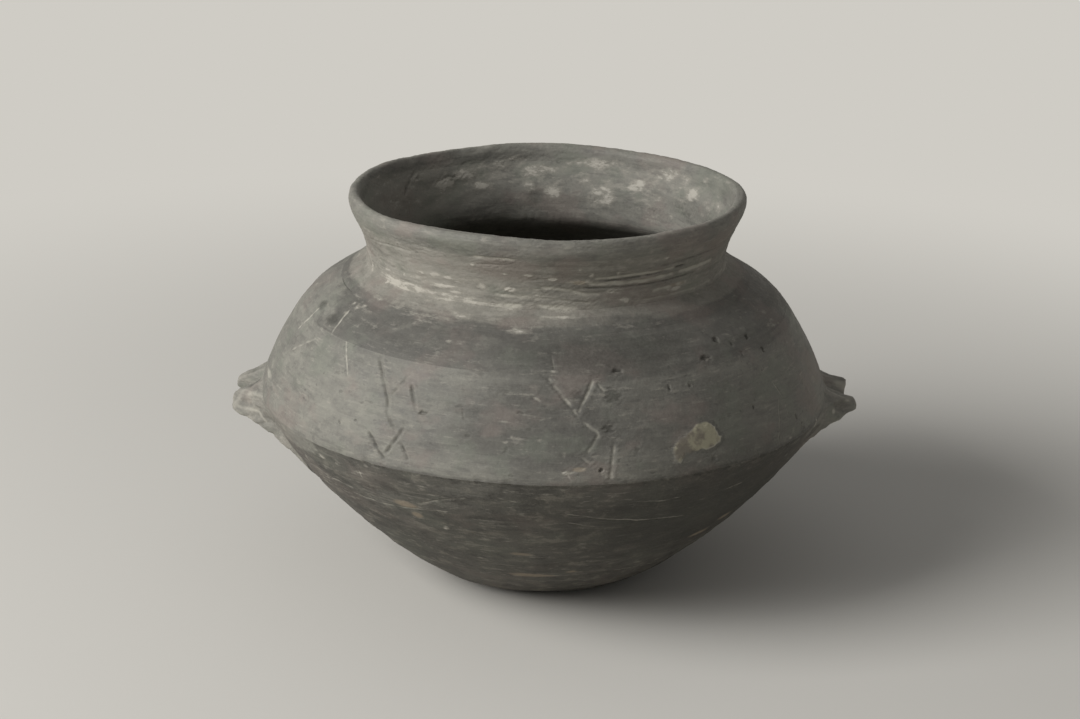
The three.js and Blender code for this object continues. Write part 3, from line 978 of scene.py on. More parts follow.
    def _smeared_edges(self, points: np.ndarray) -> np.ndarray:
        """Smear clay over the crown's edge and beside the lugs, and chip the widest edge."""
        height = points[:, 2]
        radius = np.hypot(points[:, 0], points[:, 1])
        thumb = np.clip(0.34 + self.crown_thumb.at(points), 0.15, 0.55)
        above = height > self.wall.crown[1] + 0.05
        shoulder = ~above & (height > self.wall.belly_top[1])
        step = math.dist(self.wall.outer[2].end, self.wall.outer[3].start)
        relief = thumb * ramp(height, *self.below_crown) * shoulder
        relief -= (step - thumb) * (1 - ramp(height, *self.above_crown)) * above
        from_lug = np.abs(90 - np.abs(np.degrees(np.arctan2(points[:, 0], -points[:, 1]))))
        beside = (1 - ramp(from_lug, *self.smeared_angles)) * ramp(height, *self.smeared_heights)
        low, high = (self.wall.under_ledge[0] + reach for reach in self.smeared_ledge)
        below_edge = height <= self.wall.carination_height + 0.01
        relief += self.smear_height * beside * below_edge * (1 - ramp(radius, low, high))
        nicks = ramp(self.nicks.at(points), 0.7, 2.2) * ramp(from_lug, 18, 34)
        edge = ramp(height, 77.8, 79.6) * (1 - ramp(height, *self.above_edge))
        return relief - self.nick_depth * nicks * edge

    def inner_relief(self, points: np.ndarray) -> tuple[np.ndarray, Layers]:
        """Work out the inner surface's departure from the true one, and its colour layers.

        Args:
            points: Places on the true inner surface.

        Returns:
            Distance towards the axis for each point, and one array of shares for each layer.
        """
        layers = {name: np.zeros(len(points)) for name in MARK_LAYERS}
        relief = unevenness(points, INNER_RIPPLES)
        self._add_patches(points, INNER_PATCHES, Skin.INSIDE, layers)
        relief += self._cut(points, self.inner_routes, layers)
        flakes = 0.6 + Ripple(3, 2, 0.4, 24).at(points)
        relief += 0.2 * ramp(layers["lime"], 0.35, 0.8) * flakes
        return np.clip(relief, -self.inner_limit, self.inner_limit), layers

    def _add_patches(self, points: np.ndarray, patches: tuple[Patch, ...], skin: Skin,
                     layers: Layers) -> None:
        """Raise the colour layers where patches lie; the finish gives them ragged edges."""
        for patch in patches:
            across, along = self._local(points, patch.angle, patch.height, skin)
            reach = np.hypot(across / patch.across, along / patch.tall)
            lift(layers, patch.layer, patch.strength * (1 - ramp(reach, 0.25, 1.1)))

    def _cut(self, points: np.ndarray, routes: list[tuple[Stroke, np.ndarray]],
             layers: Layers) -> np.ndarray:
        """Cut the strokes, each with a low burr along its edges and tapering ends."""
        relief = np.zeros(len(points))
        uneven = Ripple(7, 7, 0.2, 41).at(points)
        for stroke, route in routes:
            near, gap, from_end = self._distance(points, route, stroke.width * 2.5 + 0.5)
            half = stroke.width / 2
            fade = ramp(from_end, -0.8, 2.2)
            groove = np.exp(-(gap / half) ** 2 * 1.1)
            burr = 0.2 * np.exp(-((gap - 1.9 * half) / (0.7 * half)) ** 2)
            relief[near] -= stroke.depth * fade * (groove - burr) * (1 + uneven[near])
            soft = np.exp(-(gap / half) ** 2 * 0.9) * fade
            for name, strength in (("pale", stroke.pale), ("dark", stroke.dark)):
                share = strength * soft * np.clip(1 + uneven[near], 0.4, 1.2)
                layers[name][near] = np.maximum(layers[name][near], share)
        return relief

    def _chip(self, points: np.ndarray, layers: Layers) -> np.ndarray:
        """Sink the pits."""
        relief = np.zeros(len(points))
        ragged = Ripple(2.6, 2.2, 0.13, 51).at(points)
        for pit in PITS:
            across, along = self._local(points, pit.angle, pit.height)
            reach = np.hypot(across / pit.across, along / pit.tall) + ragged
            hollow = 1 - ramp(reach, 0.35, 1.1)
            relief -= pit.depth * hollow
            lift(layers, "dark", pit.dark * (1 - ramp(reach, 0.5, 1.15)))
        return relief

    def _crust(self, points: np.ndarray, layers: Layers) -> np.ndarray:
        """Raise the crust and its rim, with a painted highlight along the rim and painted shadow
        below it.
        """
        depth = self._spall_depth(points)
        middle = np.array(SPALL.outline).mean(0)
        across, along = self._local(points, *middle)
        lower_right = ramp(across * 0.8 - along * 0.5, 0.5, 5.0)
        tail = np.exp(-((across + 7.5) / 2.4) ** 2 - ((along + 6.6) / 2.2) ** 2)
        face = ramp(depth, -0.3, 1.6)
        rim = np.exp(-((depth - 0.6) / 0.6) ** 2)
        fading = 0.66 + 0.28 * ramp(across + along * 0.4, -6.0, 2.0)
        layers["crust"] = ramp(depth, -0.5, 1.3) * fading
        # Pale crust edge with a painted highlight along the curled rim on the lower right and the
        # tail
        bright = np.maximum(0.6 * lower_right, 0.75 * tail) * rim * (depth > -0.6)
        lift(layers, "pale", bright)
        # Dark just outside the lower right edge: painted shadow under the crust
        under = np.exp(-((depth + 0.9) / 0.55) ** 2) * lower_right
        lift(layers, "dark", 0.5 * under)
        rough = Ripple(4, 3, 0.07, 61).at(points)
        return SPALL.rise * face * (1 + rough) + SPALL.rim * rim * lower_right - 0.15 * under


# ---------------------------------------------------------------------------------------------
# Finishes


def add_node(tree: bpy.types.NodeTree, kind: str, inputs: dict[str, Any] | None = None,
             **settings: Any) -> bpy.types.Node:
    """Add a node with its settings and links.

    Args:
        tree: The node tree.
        kind: The node's type.
        inputs: A socket to link from, or a constant, for each input's identifier.
        **settings: Attributes of the node.

    Returns:
        The new node.
    """
    node = tree.nodes.new(kind)
    for name, value in settings.items():
        setattr(node, name, value)
    for identifier, value in (inputs or {}).items():
        socket = next(s for s in node.inputs if s.identifier == identifier)
        if isinstance(value, Socket):
            tree.links.new(value, socket)
        else:
            socket.default_value = value
    return node


@dataclass(frozen=True)
class Paint:
    """Adds and combines the nodes of one material, on object coordinates."""

    tree: bpy.types.NodeTree

    @cached_property
    def place(self) -> Socket:
        """Object coordinates, in metres."""
        return add_node(self.tree, "ShaderNodeTexCoord").outputs["Object"]

    def noise(self, size: tuple[float, float, float], detail: float = 3.0, seed: float = 0.0,
              rough: float = 0.55, tilt: float = 0.0) -> Socket:
        """Lay a noise on the jar.

        Args:
            size: Size of its features along X, Y and Z, in millimetres.
            detail: How many finer layers it has.
            seed: Shifts the noise, so that no two are alike.
            rough: How strong the finer layers are.
            tilt: Degrees by which its layers lean.

        Returns:
            The noise's value, around a half.
        """
        mapping = add_node(self.tree, "ShaderNodeMapping", {
            "Vector": self.place, "Location": (seed, seed * 1.7, seed * 0.6),
            "Rotation": (math.radians(tilt), math.radians(tilt * 0.6), 0.0),
            "Scale": tuple(1 / (axis * MM) for axis in size)})
        noise = add_node(self.tree, "ShaderNodeTexNoise", {
            "Vector": mapping.outputs[0], "Scale": 1.0, "Detail": detail, "Roughness": rough})
        return noise.outputs["Fac"]

    def between(self, value: Any, low: float, high: float, top: float = 1.0) -> Socket:
        """Turn a value into a soft-edged mask.

        Args:
            value: Socket with the value.
            low: Where the mask leaves 0.
            high: Where it reaches its top.
            top: The mask's highest share.

        Returns:
            The mask.
        """
        return add_node(self.tree, "ShaderNodeMapRange", {
            "Value": value, "From Min": low, "From Max": high, "To Max": top},
            interpolation_type="SMOOTHSTEP").outputs[0]

    def mix(self, share: Any, under: Any, over: Any) -> Socket:
        """Lay one colour over another through a mask."""
        return add_node(self.tree, "ShaderNodeMix", {
            "Factor_Float": share, "A_Color": under, "B_Color": over},
            data_type="RGBA").outputs[2]

    def combine(self, operation: str, *values: Any) -> Socket:
        """Combine values by a named operation."""
        names = ("Value", "Value_001", "Value_002")
        return add_node(self.tree, "ShaderNodeMath", dict(zip(names, values)),
                        operation=operation).outputs[0]

    def layer(self, name: str) -> Socket:
        """Read one of the mesh's own colour layers."""
        return add_node(self.tree, "ShaderNodeAttribute", attribute_name=name).outputs["Fac"]

    def ragged(self, name: str, noise: Any, reach: float) -> Socket:
        """Read a layer and roughen it by a noise that adds or takes half the reach."""
        return self.combine("ADD", self.layer(name),
                         self.combine("MULTIPLY_ADD", noise, reach, -0.5 * reach))


@dataclass(frozen=True)
class Palette:
    """Colours of one state of the clay."""

    body: str
    cloud: str
    streak: str
    # Colour of worn clay, also used to paint light where the mesh's layer asks for it
    wear_and_light: str


@dataclass(frozen=True)
class Ware:
    """Fired clay in one state of smoking, rubbing and liming.

    Pattern sizes are real ones in millimetres: clouds from the fire, streaks from smoothing
    with a wet hand or a pebble, dashes where the tool skipped, grain of the tempered clay.
    Where the mesh's own layer says so, the clay takes the colours of the element beside it;
    where that layer holds painted shade, these darker colours paint it.
    """

    name: str
    own: Palette
    beside: Palette
    beside_layer: str
    cloud_size: float = 34.0
    streak_run: float = 70.0
    streak_height: float = 3.0
    streak_share: float = 0.4
    dash_share: float = 0.42
    mottle_share: float = 0.5
    grain_size: float = 1.1
    grain_share: float = 0.16
    scratch_share: float = 0.0
    speck_share: float = 0.45
    tint_share: float = 0.3
    lime_run: float = 14.0
    lime_height: float = 1.4
    roughness: tuple[float, float] = (0.62, 0.86)
    fine_relief: float = 0.18

    def build(self) -> bpy.types.Material:
        """Build the material.

        Returns:
            The new material.
        """
        material = bpy.data.materials.new(self.name)
        material.use_nodes = True
        material.node_tree.nodes.clear()
        paint = Paint(material.node_tree)
        run, tall = self.streak_run, self.streak_height
        clouds = paint.noise((self.cloud_size,) * 3, 4.0)
        streaks = paint.noise((run, run, tall), 4.0, 3.1, 0.62)
        fine_streaks = paint.noise((run * 0.5, run * 0.5, tall * 0.3), 3.0, 7.7, 0.6)
        grain = paint.noise((self.grain_size,) * 3, 3.0, 5.3)
        mottle = paint.noise((9.0, 9.0, 5.0), 5.0, 9.1, 0.65)
        dashes = paint.noise((9.0, 9.0, 1.7), 3.0, 11.3)
        rules = (
            ("cloud", clouds, 0.36, 0.66, 0.7),
            ("streak", streaks, 0.47, 0.70, self.streak_share),
            ("wear_and_light", fine_streaks, 0.52, 0.74, self.streak_share * 0.8),
            ("wear_and_light", mottle, 0.52, 0.66, self.mottle_share),
            ("streak", mottle, 0.48, 0.35, self.mottle_share),
            ("streak", dashes, 0.55, 0.64, self.dash_share),
            ("wear_and_light", dashes, 0.43, 0.34, self.dash_share * 0.6),
            ("wear_and_light", grain, 0.50, 0.70, self.grain_share),
            ("streak", grain, 0.46, 0.28, self.grain_share * 1.3),
        )
        masks = [(tone, paint.between(*rule)) for tone, *rule in rules]
        beside = paint.between(paint.ragged(self.beside_layer, mottle, 1.2), 0.3, 0.7)
        colour = paint.mix(beside, self._tones(paint, self.own, masks),
                           self._tones(paint, self.beside, masks))
        # Lighter where the layer holds wear and painted light
        wear_and_light = paint.between(paint.ragged("wear_and_light", mottle, 0.8), 0.2, 1.0, 0.85)
        colour = paint.mix(wear_and_light, colour, linear(self.own.wear_and_light))
        colour = self._scratches(paint, self._specks(paint, self._tints(paint, colour)))
        colour, lime = self._lime(paint, colour)
        colour = self._marks(paint, grain, mottle, colour)
        self._shade(paint, colour, lime, (grain, streaks, dashes, mottle))
        return material

    @staticmethod
    def _tones(paint: Paint, palette: Palette, masks: list[tuple[str, Socket]]) -> Any:
        """Lay a palette's colours over its body colour, each through its mask."""
        colour: Any = linear(palette.body)
        for tone, share in masks:
            colour = paint.mix(share, colour, linear(getattr(palette, tone)))
        return colour

    def _tints(self, paint: Paint, colour: Any) -> Socket:
        """Warm and cool the clay in spots some centimetres wide, as an uneven fire does."""
        spots = paint.noise((30.0, 30.0, 20.0), 3.0, 17.9, 0.6)
        warm = paint.between(spots, 0.52, 0.64, self.tint_share)
        cool = paint.between(spots, 0.48, 0.36, self.tint_share)
        return paint.mix(cool, paint.mix(warm, colour, linear("#84766f")), linear("#72776a"))

    def _specks(self, paint: Paint, colour: Any) -> Socket:
        """Sprinkle small dark holes left by burnt-out temper, about a millimetre wide."""
        spots = paint.noise((2.3, 2.3, 1.5), 1.0, 13.7, 0.4)
        groups = paint.noise((16.0, 16.0, 10.0), 3.0, 15.1)
        share = paint.combine("MULTIPLY", paint.between(groups, 0.42, 0.70),
                           paint.between(spots, 0.64, 0.78, self.speck_share))
        return paint.mix(share, colour, linear("#3f3e3a"))

    def _scratches(self, paint: Paint, colour: Any) -> Socket:
        """Draw long fine scratches that lean a little either way."""
        if self.scratch_share <= 0:
            return colour
        for seed, tilt in ((21.0, 3.5), (25.0, -5.5)):
            lines = paint.noise((60.0, 60.0, 1.5), 1.0, seed, 0.5, tilt)
            gate = paint.noise((22.0, 22.0, 12.0), 3.0, seed + 1)
            share = paint.combine("MULTIPLY", paint.between(lines, 0.66, 0.71, self.scratch_share),
                               paint.between(gate, 0.48, 0.62))
            colour = paint.mix(share, colour, linear("#8f8c82"))
        return colour

    def _lime(self, paint: Paint, colour: Any) -> tuple[Socket, Socket]:
        """Lay on lime from the soil, in broken streaks, where the mesh's layer asks for it."""
        run, tall = self.lime_run, self.lime_height
        streaks = paint.noise((run, run, tall), 4.0, 31.0, 0.66)
        film = paint.noise((6.0, 6.0, 2.8), 5.0, 33.0, 0.7)
        loose = paint.combine("MULTIPLY_ADD", paint.combine("ADD", streaks, film), 0.9, -0.31)
        total = paint.combine("MULTIPLY_ADD", paint.layer("lime"), 0.36, loose)
        haze = paint.between(total, 0.66, 0.88, 0.66)
        crust = paint.between(total, 0.85, 1.02, 0.74)
        colour = paint.mix(haze, colour, linear("#8f8b81"))
        return paint.mix(crust, colour, linear("#b4afa4")), crust

    @staticmethod
    def _marks(paint: Paint, grain: Socket, mottle: Socket, colour: Any) -> Socket:
        """Colour the strokes, pits, stains and the crust, and the painted shade and highlights,
        from the mesh's layers.
        """
        film = paint.between(paint.noise((6.0, 6.0, 6.0), 4.0, 41.0), 0.42, 0.58)
        crust = paint.mix(film, linear("#766f63"), linear("#99947f"))
        tones = (("dark", linear("#35342f"), 0.15, 1.0, 0.8, grain, 0.6),
                 ("ochre", linear("#8d8170"), 0.3, 0.95, 0.75, mottle, 0.6),
                 ("crust", crust, 0.2, 0.85, 0.92, mottle, 0.6),
                 ("pale", linear("#aba79b"), 0.16, 0.85, 0.85, mottle, 0.4))
        for name, tone, low, high, top, noise, reach in tones:
            mask = paint.between(paint.ragged(name, noise, reach), low, high, top)
            colour = paint.mix(mask, colour, tone)
        return colour

    def _shade(self, paint: Paint, colour: Any, lime: Socket, noises: tuple[Socket, ...]) -> None:
        """Give the surface its dull sheen and its fine relief."""
        grain, streaks, dashes, mottle = noises
        low, high = self.roughness
        rough = add_node(paint.tree, "ShaderNodeMapRange", {
            "Value": mottle, "From Min": 0.3, "From Max": 0.7, "To Min": low, "To Max": high})
        chalky = add_node(paint.tree, "ShaderNodeMix", {
            "Factor_Float": lime, "A_Float": rough.outputs[0], "B_Float": 0.95},
            data_type="FLOAT")
        relief = paint.combine("MULTIPLY", grain, 0.6)
        for noise, height in ((streaks, 0.5), (dashes, -0.7), (mottle, 0.7), (lime, 0.3)):
            relief = paint.combine("MULTIPLY_ADD", noise, height, relief)
        bump = add_node(paint.tree, "ShaderNodeBump", {
            "Strength": 1.0, "Distance": self.fine_relief * MM, "Height": relief})
        shader = add_node(paint.tree, "ShaderNodeBsdfPrincipled", {
            "Base Color": colour, "Roughness": chalky.outputs[0], "IOR": 1.45,
            "Specular IOR Level": 0.35, "Normal": bump.outputs[0]})
        add_node(paint.tree, "ShaderNodeOutputMaterial", {"Surface": shader.outputs[0]})


SMOKED = Palette("#5d5b55", "#484641", "#413f3b", "#77736a")
RUBBED = Palette("#78766e", "#696761", "#5c5a55", "#8a887e")
PINCHED = Palette("#807d75", "#73716a", "#65635d", "#9a968c")
DARK_BAND = Palette("#63615b", "#595752", "#4f4d49", "#75736b")
LIMED = Palette("#827f76", "#77746c", "#67645d", "#97938a")
WORN_LIP = Palette("#78766e", "#6c6a63", "#605e59", "#8d8a81")
HAND_SMOOTHED = Palette("#7c7a72", "#6b6962", "#5c5a55", "#87847b")

# Lower wall: reduced earthenware, smoked in the fire and scraped level: dull and dark, with
# long pale scratches and stains from the soil.
SMOKED_WARE = Ware("smoked_earthenware_scraped", SMOKED, RUBBED, "rubbed", streak_height=6.0,
                   streak_share=0.14, mottle_share=0.72, dash_share=0.26,
                   tint_share=0.13, scratch_share=0.24, roughness=(0.66, 0.9), fine_relief=0.24)

# Belly: the same clay rubbed with a pebble while leather-hard: greyer and a little smoother,
# with a soft sheen across it.
RUBBED_WARE = Ware("rubbed_grey_earthenware", RUBBED, DARK_BAND, "smoke_and_shade", streak_height=5.0,
                   streak_share=0.3, grain_share=0.2, speck_share=0.5, roughness=(0.58, 0.8))

# The lugs were pinched, not rubbed, and go over into the scraped wall below them.
PINCHED_WARE = Ware("pinched_grey_earthenware", PINCHED, SMOKED, "scraped", streak_height=5.0,
                    streak_share=0.3, grain_share=0.26, fine_relief=0.28)

# Shoulder: a band that the fire left darker, brushed round while wet.
DARK_BAND_WARE = Ware("dark_smoked_earthenware_brushed", DARK_BAND, RUBBED, "rubbed",
                      streak_height=3.4, streak_share=0.45, tint_share=0.2)

# Crown and neck: wiped round with wet fingers, then coated with lime in the ground: pale and
# chalky, in broken lines along the wiping.
LIMED_WARE = Ware("limed_earthenware_wiped", LIMED, DARK_BAND, "smoke_and_shade", streak_height=2.4,
                  streak_run=110.0, streak_share=0.36, roughness=(0.7, 0.92),
                  fine_relief=0.22)

# Lip: worn smooth and pale along its crest.
LIP_WARE = Ware("worn_lip_earthenware", WORN_LIP, LIMED, "smoke_and_shade", streak_height=2.4,
                streak_run=110.0, streak_share=0.3, roughness=(0.56, 0.78))

# Inside: smoked, smoothed by hand, with flakes of lime that cling below the mouth.
INNER_WARE = Ware("smoked_inner_earthenware", HAND_SMOOTHED, WORN_LIP, "rubbed",
                  streak_height=5.0, streak_share=0.3, lime_run=7.0, lime_height=3.0,
                  roughness=(0.7, 0.92))


# ---------------------------------------------------------------------------------------------
# Pieces


def finish_piece(bm: bmesh.types.BMesh, name: str, node: str,
                 materials: list[bpy.types.Material]) -> bpy.types.Object:
    """Turn a bmesh into a piece that stands for a solid.

    Args:
        bm: The finished bmesh, freed here.
        name: The piece's name.
        node: The solid it stands for.
        materials: The piece's materials, in the order of its faces' indices.

    Returns:
        The new object.
    """
    if bm.calc_volume(signed=True) < 0:
        bmesh.ops.reverse_faces(bm, faces=bm.faces)
    mesh = bpy.data.meshes.new(name)
    soft = [face.smooth for face in bm.faces]
    bm.to_mesh(mesh)
    bm.free()
    mesh.set_sharp_from_angle(angle=math.radians(SHARP_ANGLE))
    mesh.polygons.foreach_set("use_smooth", soft)
    for material in materials:
        mesh.materials.append(material)
    piece = bpy.data.objects.new(name, mesh)
    bpy.context.scene.collection.objects.link(piece)
    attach(piece, BODY)
    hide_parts(node)
    triangles = sum(len(face.vertices) - 2 for face in mesh.polygons)
    LOG.info("%s: %d triangles, stands for %s", name, triangles, node)
    return piece


@dataclass
class TurnedElement:
    """A clay element that runs all the way round the jar."""

    node: str
    slot: Slot
    handwork: Handwork
    outside: bpy.types.Material
    inside: bpy.types.Material
    outer_row: float = 1.2
    inner_row: float = 2.6
    refinements: int = 2
    ledge_gap: float = 0.02

    @property
    def wall(self) -> Wall:
        """The wall that the element belongs to."""
        return self.handwork.wall

    def profile(self) -> tuple[np.ndarray, bool]:
        """Rows of the element's section, and whether they close on themselves."""
        raise NotImplementedError

    def build(self) -> bpy.types.Object:
        """Turn the section on the axis, work the surface and dress it.

        Returns:
            The finished piece.
        """
        bm = self._turn()
        for _ in range(self.refinements):
            self._refine(bm)
        self._work(bm)
        bmesh.ops.recalc_face_normals(bm, faces=bm.faces)
        return finish_piece(bm, f"{self.node}_clay", self.node,
                            [self.outside, self.inside])

    def _turn(self) -> bmesh.types.BMesh:
        """Spin the section round the axis into a closed body."""
        rows, closed = self.profile()
        bm = bmesh.new()
        layers = [bm.verts.layers.float.new(name) for name in ROW_LAYERS]
        ring = []
        for row in rows:
            vert = bm.verts.new((row[0] * MM, 0, row[1] * MM))
            for layer, value in zip(layers, row):
                vert[layer] = value
            ring.append(vert)
        pairs = list(zip(ring, ring[1:])) + ([(ring[-1], ring[0])] if closed else [])
        edges = [bm.edges.new(pair) for pair in pairs]
        bmesh.ops.spin(bm, geom=ring + edges, cent=(0, 0, 0), axis=(0, 0, 1), dvec=(0, 0, 0),
                       angle=2 * math.pi, steps=TURN_STEPS, use_merge=True, use_duplicate=False)
        bmesh.ops.remove_doubles(bm, verts=bm.verts, dist=TINY)
        return bm

    def _read(self, bm: bmesh.types.BMesh) -> tuple[np.ndarray, np.ndarray]:
        """Read each vertex's angle and its row of the section.

        Args:
            bm: The bmesh.

        Returns:
            Angles in degrees from the front, and rows in the order of ROW_LAYERS.
        """
        layers = [bm.verts.layers.float[name] for name in ROW_LAYERS]
        bm.verts.ensure_lookup_table()
        rows = np.array([[vert[layer] for layer in layers] for vert in bm.verts])
        place = np.array([vert.co[:] for vert in bm.verts])
        angle = np.degrees(np.arctan2(place[:, 0], -place[:, 1]))
        grid = 360 / TURN_STEPS / 2 ** self.refinements
        return np.round(angle / grid) * grid, rows

    def _refine(self, bm: bmesh.types.BMesh) -> None:
        """Split the faces where marks need a finer mesh."""
        angle, rows = self._read(bm)
        points = on_jar(angle, rows[:, 0], rows[:, 1])
        wanted = np.zeros(len(points), bool)
        for skin in Skin:
            side = np.abs(rows[:, 4] - skin.value) < SAME_ROW
            wanted[side] = self.handwork.near_marks(points[side], skin)
        bm.verts.index_update()
        edges = [edge for edge in bm.edges if all(wanted[vert.index] for vert in edge.verts)]
        if edges:
            bmesh.ops.subdivide_edges(bm, edges=edges, cuts=1, use_grid_fill=True)

    def _part_ledge(self, angle: np.ndarray, rows: np.ndarray, radius: np.ndarray) -> None:
        """Keep the rows across the ledge at the widest edge in order, a hair apart."""
        level = np.abs(rows[:, 1] - self.wall.carination_height) < SAME_ROW
        order = np.flatnonzero(level & (rows[:, 4] > 1 - SAME_ROW))
        order = order[np.lexsort((-rows[order, 0], angle[order]))]
        for outer, inner in zip(order, order[1:]):
            if angle[outer] == angle[inner]:
                radius[inner] = min(radius[inner], radius[outer] - self.ledge_gap)

    def _work(self, bm: bmesh.types.BMesh) -> None:
        """Give the true surface its relief and its colour layers."""
        angle, rows = self._read(bm)
        radius, height, normal_r, normal_z, side = rows.T.copy()
        points = on_jar(angle, radius, height)
        marks = {name: np.zeros(len(points)) for name in MARK_LAYERS}
        for skin in Skin:
            share = (1 + side * skin.value) / 2
            chosen = share > SAME_ROW
            hand = self.handwork
            work = hand.outer_relief if skin is Skin.OUTSIDE else hand.inner_relief
            relief, layers = work(points[chosen])
            relief = relief * share[chosen]
            radius[chosen] += relief * normal_r[chosen]
            height[chosen] += relief * normal_z[chosen]
            for name in MARK_LAYERS:
                marks[name][chosen] += layers[name] * share[chosen]
        radius = np.clip(radius, 0, self.handwork.girth_limit)
        radius[rows[:, 0] < TINY] = 0
        self._part_ledge(angle, rows, radius)
        height = np.clip(height, 0, self.handwork.crown_limit)
        place = on_jar(angle, radius, height) * MM
        write_marks(bm, marks)
        for vert, spot in zip(bm.verts, place.tolist()):
            vert.co = spot
        skin_layer = bm.verts.layers.float["skin"]
        for face in bm.faces:
            skins = [vert[skin_layer] for vert in face.verts]
            face.material_index = int(sum(skins) < 0)
            face.smooth = max(skins) - min(skins) < HARD_STEP
        bmesh.ops.remove_doubles(bm, verts=bm.verts, dist=TINY)


@dataclass
class Base(TurnedElement):
    """The disc that the jar was started from, with the beginning of its wall."""

    seam: float = 0.17

    def profile(self) -> tuple[np.ndarray, bool]:
        """Rows from the axis along the underside, up, back inside and to the axis again."""
        wall = self.wall
        under = self._flat(0.0, wall.foot_radius, 0.0, Skin.OUTSIDE)
        floor = self._flat(0.0, wall.foot_radius - wall.inner_foot_setback,
                           wall.base_thickness, Skin.INSIDE)
        out = wall.rows(Skin.OUTSIDE, 0, self.seam, self.outer_row)
        back = wall.rows(Skin.INSIDE, 0, wall.inner_place(self.seam), self.inner_row)
        return np.vstack([under[:-1], out, back[::-1], floor[::-1][1:]]), False

    def _flat(self, start: float, end: float, height: float, skin: Skin) -> np.ndarray:
        """Rows across a level face."""
        spacing = self.inner_row if skin is Skin.INSIDE else self.inner_row * 0.8
        radii = np.linspace(start, end, math.ceil((end - start) / spacing) + 1)
        fixed = np.array([height, 0.0, -skin.value, skin.value])
        return np.hstack([radii[:, None], np.tile(fixed, (len(radii), 1))])


@dataclass
class Band(TurnedElement):
    """A coil or band of the wall, between a bevelled seam below it and one above."""

    below: float = 0.0
    above: float = 1.0
    lip_share: float = 0.7

    def profile(self) -> tuple[np.ndarray, bool]:
        """Rows up the outer side and down the inner side."""
        wall = self.wall
        out = wall.rows(Skin.OUTSIDE, self.below, self.above, self.outer_row)
        back = wall.rows(Skin.INSIDE, wall.inner_place(self.below),
                         wall.inner_place(self.above), self.inner_row)
        return np.vstack([self._edge(out[0]), out[1:], back[::-1]]), True

    def _edge(self, first: np.ndarray) -> np.ndarray:
        """Rows of the lower edge: plain, smeared flush, or standing proud of the element below."""
        index = int(self.below)
        if index == 0 or abs(self.below - index) > TINY:
            return first[None, :]
        span = self.wall.outer[index - 1]
        points, heading = span.at(np.array([1.0]))
        corner = np.hstack([points[0], heading[0, 1], -heading[0, 0], Skin.OUTSIDE.value])
        if np.linalg.norm(first[:2] - corner[:2]) < SAME_RING:
            return first[None, :]
        if span.end != self.wall.under_ledge:
            return corner[None, :]
        lip = first.copy()
        lip[:2] = corner[:2] + (first[:2] - corner[:2]) * self.lip_share
        return np.vstack([corner, lip, first])


@dataclass
class RolledLip(TurnedElement):
    """The rim: a roll of clay turned out over the neck."""

    def profile(self) -> tuple[np.ndarray, bool]:
        """Rows over the lip and down its inner side."""
        wall = self.wall
        inner_lip = wall.inner[-1].end
        swell = wall.lip[0] + wall.roll_swell
        crest = (wall.lip[0] - wall.crest_setback, wall.lip[1] + wall.crest_rise)
        inner_swell = (inner_lip[0] + crest[0]) / 2 - wall.roll_swell
        over = np.array([
            wall.lip, (swell + wall.roll_swell / 2, wall.lip[1] + wall.crest_rise * 0.46),
            (swell + wall.roll_swell / 2, crest[1]), crest])
        down = np.array([
            crest, (inner_swell, crest[1]),
            (inner_swell + wall.roll_swell / 3, inner_lip[1] + (crest[1] - inner_lip[1]) * 0.36),
            inner_lip])
        falling = self._curve(down)[1:]
        falling[:, 4] = 1 - 2 * ramp(np.linspace(0, 1, len(falling)), 0.1, 1.0)
        return np.vstack([self._curve(over), falling]), True

    def _curve(self, controls: np.ndarray) -> np.ndarray:
        """Rows along a curve with four control points."""
        run = np.linalg.norm(np.diff(controls, axis=0), axis=1).sum()
        count = max(6, round(run / self.outer_row))
        points, heading = bezier(controls, np.linspace(0, 1, count + 1))
        side = np.full((len(points), 1), Skin.OUTSIDE.value)
        return np.hstack([points, heading[:, 1:], -heading[:, :1], side])


